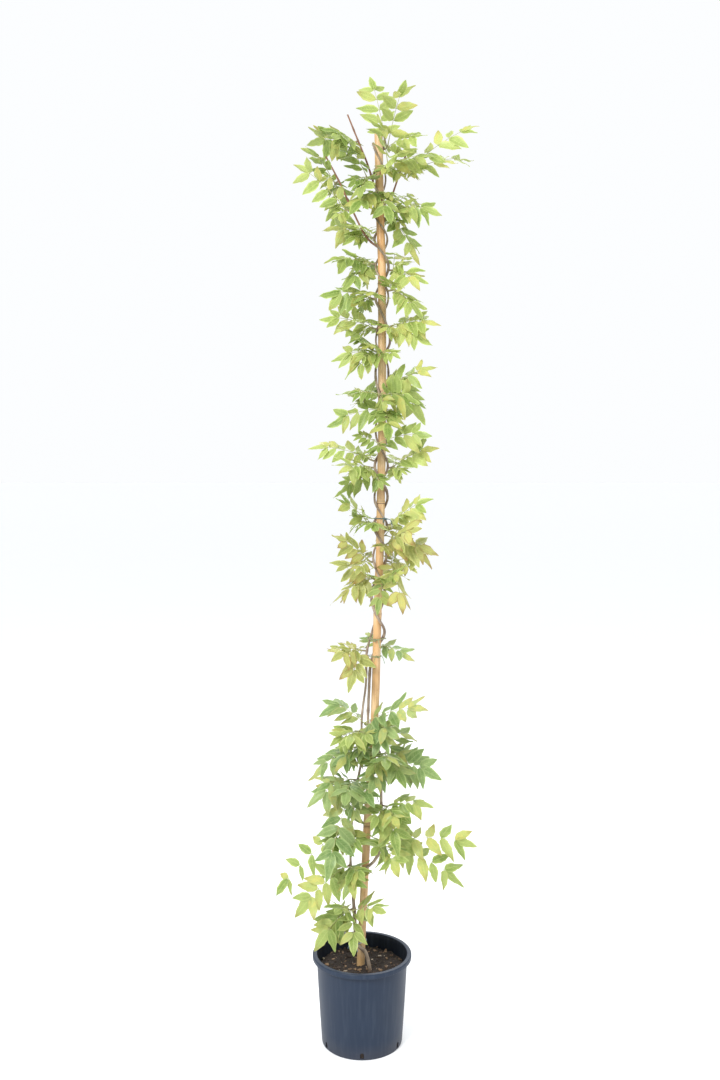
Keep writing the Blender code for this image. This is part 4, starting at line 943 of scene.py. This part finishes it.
def stalkFinish():
    made, tree, shader = newFinish("leafStalk", 0.5)
    woody = marksOf(tree)["X"]
    fuzz = grain(tree, ownPlace(tree), 700.0, 3.0)
    clouds = grain(tree, ownPlace(tree), 60.0, 3.0)
    base = mixColours(tree, spread(tree, clouds, 0.35, 0.7), leaves["stalkColour"], leaves["stalkPale"])
    base = mixColours(tree, woody, base, leaves["spurColour"])
    base = tint(tree, base, leaves["stalkDark"], fuzz, 0.4, 0.7, 0.0, 0.4)
    wire(tree, shader, base, None, relief(tree, fuzz, 0.4, 0.0003))
    return made


def leafletsOf(leaf, pairs):
    # rib of one leaf as a function, and the foot, ways, size and place on the rib of each leaflet
    base, tip, _, leaflet, droop, roll, seed = leaf
    rng = random.Random(seed)
    chord = tip - base
    level = Vector((chord.x, chord.y, 0.0))
    level = level.normalized() if level.length > 0.01 else Vector((1.0, 0.0, 0.0))
    sideWay = Vector((level.y, -level.x, 0.0))
    length = chord.length
    control = base + chord * 0.45 + Vector((0.0, 0.0, leaves["arch"] * length))
    endShare = max(0.55, 1.0 - 0.95 * leaflet / length)

    def rib(share):
        return base * (1 - share) ** 2 + control * 2 * share * (1 - share) + tip * share ** 2

    def ribFrame(share):
        ahead = ((control - base) * (1 - share) + (tip - control) * share).normalized()
        across = Matrix.Rotation(roll, 3, ahead) @ sideWay
        return ahead, across, across.cross(ahead)

    rootShare, petiole = leaves["root"] / length, leaves["petioleShare"]
    found = []
    for number in range(pairs):
        share = petiole + (endShare - petiole) * number / (pairs - 1)
        ahead, across, up = ribFrame(share)
        sizeShare = 0.86 + 0.20 * math.sin(math.pi * (number + 0.8) / (pairs + 0.6))
        for side in (-1, 1):
            lean = math.radians(leaves["lean"] + rng.uniform(*leaves["leanSpread"])
                                - leaves["leanLoss"] * number / pairs)
            fall = droop + math.radians(rng.uniform(-leaves["droopSpread"], leaves["droopSpread"]))
            flat = across * side * math.sin(lean) + ahead * math.cos(lean)
            way = (flat * math.cos(fall) - up * math.sin(fall)).normalized()
            along = (ahead * math.sin(lean) - across * side * math.cos(lean)).normalized()
            start = (rib(share - rootShare / 2) + rib(share + rootShare / 2)) / 2
            start = start + across * side * leaves["ribWidth"] / 2
            size = leaflet * sizeShare * rng.uniform(*leaves["sizeSpread"])
            found.append((start, way, along * side, up, size, share))
    last = petiole + (endShare - petiole) + rootShare / 2
    ahead, across, up = ribFrame(last)
    reach = tip - rib(last)
    found.append((rib(last), reach.normalized(), across, up, reach.length, last))
    return rib, found


def tipOf(leaflet):
    start, way, _, up, size, _ = leaflet
    return start + way * size - up * size * leaves["sag"] - Vector((0.0, 0.0, size * leaves["tipFall"]))


def spurChoices(stem, where, goal, lines):
    # places for a spur on its stem, the one that looks best toward its leaves first
    line, radii = lines[{"r": "a", "l": "b"}.get(stem, stem)]
    if stem.startswith("s"):
        indices = [round(where * (len(line) - 1))]
        indices += [i for i in range(1, len(line) - 1) if i not in indices]
    else:
        indices = [i for i in range(1, len(line) - 1) if abs(line[i].z - where) <= leaves["window"]]
    choices = []
    for i in indices:
        ahead = (line[i + 1] - line[i - 1]).normalized()
        toward = goal - line[i]
        if stem in ("a", "b"):
            out = line[i] - Vector((caneX(line[i].z), 0.0, line[i].z))
        else:
            out = Vector(toward)
        out = (out - ahead * out.dot(ahead)).normalized()
        level = Vector((toward.x, toward.y, 0.0)).normalized()
        shift = abs(line[i].z - where) if not stem.startswith("s") else 0.02 * indices.index(i)
        choices.append((shift * leaves["shiftCost"] - out.dot(level), i, line[i], radii[i], out))
    choices.sort(key=lambda item: item[:2])
    return [item[2:] for item in choices]


def findLeaves(row, number, spur, bend, tree):
    # leaves of a spray from a given spur, each where the frame's own spray has its leaflet tips, or nothing
    rng = random.Random(leaves["seed"] + number)
    plan = []
    for index, (x, y, z, pairs, size) in enumerate(row[4]):
        base = spur[2] - bend * (leaves["leafGap"][0] + leaves["leafGap"][1] * index)
        seed = rng.random()
        target, leaflet = Vector((x, y, z)) / 100, size / 100
        droop = math.radians(leaves["droop"][0] + leaves["droop"][1] * seed)
        facing = (target - base).xy.normalized().x * (1.0 if rng.random() < leaves["turnedRound"] else -1.0)
        roll = math.radians(leaves["roll"][0] + leaves["roll"][1] * rng.random()) * facing
        best = None
        for turn, lift in shifts:
            tip = base + Matrix.Rotation(math.radians(turn), 3, "Z") @ (target - base)
            tip.z += lift
            length = (tip - base).length
            if length < leaflet * leaves["shortest"]:
                tip = base + (tip - base) * (leaflet * leaves["shortest"] / length)
            leaf = (base, tip, pairs, leaflet, droop, roll, seed)
            _, found = leafletsOf(leaf, pairs)
            if tree.find(tipOf(found[-1]))[2] > leaves["tipMatch"]:
                continue
            off = max(tree.find(tipOf(one))[2] for one in found)
            if best is None or off < best[0]:
                best = (off, leaf)
        if best is None or best[0] > leaves["tipMatch"]:
            return None
        plan.append(best[1])
    return plan


def findSpray(row, number, lines):
    name, _, stem, where, rows = row
    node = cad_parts["spray_" + name]
    corners = [node.matrix_world @ vertex.co for vertex in node.data.vertices]
    tree = KDTree(len(corners))
    for i, corner in enumerate(corners):
        tree.insert(corner, i)
    tree.balance()
    tips = [Vector(leaf[:3]) / 100 for leaf in rows]
    goal = sum(tips, Vector()) / len(tips)
    for centre, radius, out in spurChoices(stem, where, goal, lines):
        foot = centre + out * (radius + leaves["spurGap"])
        turn = (goal - foot).normalized()
        bend = (out + turn * leaves["spurBend"][0] + Vector((0, 0, leaves["spurBend"][1]))).normalized()
        knee = foot + out * leaves["spurFoot"]
        spur = [foot, knee, knee + bend * (leaves["spurLength"] - leaves["spurFoot"])]
        plan = findLeaves(row, number, spur, bend, tree)
        if plan:
            return centre, spur, plan
    print("no place found for", name)
    return None


def addBlade(sheet, start, way, across, up, size, rng):
    # one leaflet: ovate with a drawn-out tip, folded along its midrib, with a waved margin
    own = rng.random()
    wide = size * leaves["aspectFine"] / 2
    fold = math.radians(rng.uniform(*leaves["fold"]))
    twist = math.radians(rng.uniform(-leaves["curl"], leaves["curl"]))
    wave, phase = rng.uniform(*leaves["wave"]), rng.uniform(0, 6.28)
    hang = rng.uniform(*leaves["hang"])
    lopsided = rng.uniform(-leaves["lopsided"], leaves["lopsided"])
    points, marks, faces = [], [], []
    columns, stations = leaves["columns"], leaves["rowsAlong"]
    for t in stations:
        sag = leaves["sag"] * t ** 1.4 + hang * math.sin(math.pi * t)
        middle = start + way * size * t - up * size * sag
        middle.z -= size * leaves["tipFall"] * t * t
        half = wide * math.sin(math.pi * min(t, 1.0) ** 0.72) ** 0.80
        half *= 1.0 - 0.38 * max(0.0, (t - 0.66) / 0.34) ** 1.5 * (1 - t) * 3
        half = max(half, 0.0002 if 0 < t < 1 else 0.0001) + (0.0006 if t == 0 else 0.0)
        turned = Matrix.Rotation(twist * t, 3, way)
        side, high = turned @ across, turned @ up
        for column in columns:
            bend = abs(column)
            rise = half * bend * math.sin(fold)
            rise += wide * wave * bend * bend * math.sin(t * 11 + phase + column)
            reach = column * half * (1 + lopsided * (1 if column > 0 else -1)) * math.cos(fold)
            reach *= 1 + leaves["marginWave"] * bend ** 3 * math.sin(t * 21 + phase * 3 + column * 2)
            points.append(middle + side * reach + high * rise)
            marks.append((column, t, own))
    wideCount = len(columns)
    for i in range(len(stations) - 1):
        for k in range(wideCount - 1):
            a = i * wideCount + k
            faces.append((a, a + 1, a + wideCount + 1, a + wideCount))
    addTo(sheet, points, faces, 0, marks)


def alongLeaf(base, tip):
    return [base.lerp(tip, share) for share in leaves["clearShares"]]


def youngLeaves(number, spur, out, taken):
    # short leaves around the foot of a spray, each the clearest of several ways away from what it grows on
    rng = random.Random(leaves["youngSeed"] + number)
    made = []
    pairs = leaves["youngPairs"] - leaves["morePairs"]
    level = Vector((out.x, out.y, 0.0)).normalized()
    for index in range(leaves["young"]):
        base = spur[1].lerp(spur[2], 0.3 + 0.4 * index)
        bigger = 1.0 if base.z > leaves["bigBelow"] else leaves["bigShare"]
        length, leaflet = (rng.uniform(*leaves[key]) * bigger for key in ("youngLength", "youngLeaflet"))
        crosses = index and leaves["crossAbove"] < base.z < leaves["bigBelow"]  # in front of the cane
        ways = []
        for _ in range(leaves["youngTries"]):
            turn = (1 if (index + number) % 2 else -1) * rng.uniform(*leaves["youngTurn"])
            rise = Vector((0, 0, rng.uniform(*leaves["youngRise"])))
            way = Matrix.Rotation(math.radians(turn), 3, "Z") @ level + rise
            if crosses:
                aside = 1 if base.x < caneX(base.z) else -1
                way = Vector((aside * rng.uniform(*leaves["crossAside"]), -leaves["crossForward"],
                              rng.uniform(*leaves["crossRise"])))
            way.normalize()
            room = min((spot - own).length for spot in taken for own in alongLeaf(base, base + way * length))
            ways.append((room, way))
        way = max(ways, key=lambda one: one[0])[1]
        tip = base + way * length
        taken.extend(alongLeaf(base, tip))
        roll = math.radians(rng.uniform(*leaves["youngRoll"])) * (1 if way.x > 0 else -1)
        droop = math.radians(rng.uniform(*leaves["youngDroop"]))
        made.append((base, tip, pairs, leaflet, droop, roll, rng.random()))
    return made


def addSpur(sheet, centre, spur):
    out = (spur[0] - centre).normalized()
    woody = smoothLine([spur[0] - out * leaves["spurBury"], spur[1], spur[2]], leaves["spurStep"])
    count, sides = len(woody), leaves["spurSides"]
    radii = [leaves["spurRadius"] * (1.15 - 0.3 * k / count + 0.16 * math.sin(k * 1.9)) for k in range(count)]
    points, faces = sweep(woody, radii, sides)
    addTo(sheet, points, faces, 1, [(1.0 - 0.5 * k // sides / count, 0, 0) for k in range(len(points))])
    return out


def addLeaf(sheet, leaf):
    pairs, seed = leaf[2], leaf[6]
    rng = random.Random(seed * 97)
    rib, blades = leafletsOf(leaf, pairs + leaves["morePairs"])
    last = blades[-1][5]
    count = leaves["ribSteps"]
    line = [rib(last * k / count) for k in range(count + 1)]
    thick = [leaves["ribThick"] + leaves["ribSwell"] * math.exp(-k / 1.6) - leaves["ribTaper"] * k / count
             for k in range(count + 1)]
    addTo(sheet, *sweep(line, thick, leaves["ribSides"]), 1)
    sway, short = math.radians(leaves["sway"]), leaves["leafStem"]
    for start, way, across, up, size, share in blades:
        root = rib(min(share, last))
        if share < last - 1e-6:  # side leaflets hang each in their own way
            turned = Matrix.Rotation(rng.uniform(-sway, sway), 3, up)
            turned = Matrix.Rotation(rng.uniform(*leaves["swayAcross"]) * sway, 3, across) @ turned
            way, across, up = turned @ way, turned @ across, turned @ up
            size *= rng.uniform(*leaves["fineSize"])
        foot = start + way * short
        stalk = [root, root.lerp(foot, 0.5) - up * leaves["stalkDip"], foot + way * leaves["stalkInto"]]
        addTo(sheet, *sweep(stalk, leaves["stalkRadii"], leaves["stalkSides"]), 1)
        addBlade(sheet, foot, way, across, up, size - short, rng)


def makeSpray(row, number, found, finishes, taken):
    name, tone = row[:2]
    centre, spur, plan = found
    sheet = newSheet()
    out = addSpur(sheet, centre, spur)
    for leaf in plan + youngLeaves(number, spur, out, taken):
        addLeaf(sheet, leaf)
    mesh = sheetMesh(name, sheet, [finishes[tone], finishes["stalk"]])
    placePiece("leaves_" + name, mesh, "spray_" + name)


# studio: pale floor and soft light
studio = {
    "floorColour": (0.88, 0.89, 0.90), "floorGlow": 0.11, "floorSize": 400.0,
    "world": (0.975, 0.988, 1.0), "worldStrength": 1.0,
    "lights": (("key", (-2.0, -3.0, 3.6), (0.0, 0.0, 1.2), 1.6, 190.0),
               ("fill", (3.0, -2.0, 2.0), (0.0, 0.0, 1.1), 2.4, 30.0),
               ("back", (0.6, 3.2, 3.2), (0.0, 0.0, 1.2), 2.8, 60.0)),
    "camera": (-0.0053, -2.694, 1.49), "cameraDown": 3.55, "lens": 35.0, "sensor": 36.0,
}


def makeStudio():
    scene = bpy.context.scene
    scene.view_settings.view_transform = "Standard"
    half = studio["floorSize"] / 2
    sheet = newSheet()
    corners = [(-half, -half, 0), (half, -half, 0), (half, half, 0), (-half, half, 0)]
    addTo(sheet, corners, [(0, 1, 2, 3)])
    made, tree, shader = newFinish("paleFloor", 0.6)
    clouds = grain(tree, ownPlace(tree), 2.5, 3.0)
    dull = tuple(value * 0.98 for value in studio["floorColour"])
    wire(tree, shader, mixColours(tree, clouds, dull, studio["floorColour"]))
    shader.inputs["Emission Color"].default_value = (*studio["world"], 1.0)
    shader.inputs["Emission Strength"].default_value = studio["floorGlow"]
    floor = bpy.data.objects.new("floor", sheetMesh("floor", sheet, [made]))
    scene.collection.objects.link(floor)
    world = bpy.data.worlds.new("studio")
    world.use_nodes = True
    world.node_tree.nodes["Background"].inputs["Color"].default_value = (*studio["world"], 1.0)
    world.node_tree.nodes["Background"].inputs["Strength"].default_value = studio["worldStrength"]
    scene.world = world
    for name, place, aim, size, power in studio["lights"]:
        lamp = bpy.data.lights.new(name, "AREA")
        lamp.shape, lamp.size, lamp.energy = "DISK", size, power
        holder = bpy.data.objects.new(name, lamp)
        holder.location = place
        holder.rotation_euler = (Vector(aim) - Vector(place)).to_track_quat("-Z", "Y").to_euler()
        scene.collection.objects.link(holder)
    camera = bpy.data.cameras.new("camera")
    camera.lens, camera.sensor_width = studio["lens"], studio["sensor"]
    holder = bpy.data.objects.new("camera", camera)
    holder.location = studio["camera"]
    holder.rotation_euler = (math.radians(90 - studio["cameraDown"]), 0.0, 0.0)
    scene.collection.objects.link(holder)
    scene.camera = holder


def makePlant():
    makePot()
    print("pot made")
    makeSoil()
    print("soil made")
    makeCane()
    print("cane made")
    lines, fineLines = stemLines(), stemLines(True)
    found = [findSpray(row, number, lines) for number, row in enumerate(sprays)]
    print("leaves placed:", sum(one is not None for one in found), "of", len(sprays), "sprays")
    makeStems([one[1][0] for one in found if one], fineLines)
    for row in ties["rows"]:
        makeTie(fineLines, *row)
    print("stems and ties made")
    finishes = {tone: bladeFinish(tone) for tone in ("light", "mid", "dark", "blue", "olive")}
    finishes["stalk"] = stalkFinish()
    # spots that the young leaves keep clear of: the larger leaves and the cane
    taken = [spot for one in found if one for leaf in one[2] for spot in alongLeaf(leaf[0], leaf[1])]
    for step in range(*leaves["caneSpots"]):
        height = leaves["caneSpacing"] * step
        taken.append(Vector((caneX(height), 0.0, height)))
    for number, (row, one) in enumerate(zip(sprays, found)):
        if one:
            makeSpray(row, number, one, finishes, taken)
    print("leaves made")


makePlant()
makeStudio()
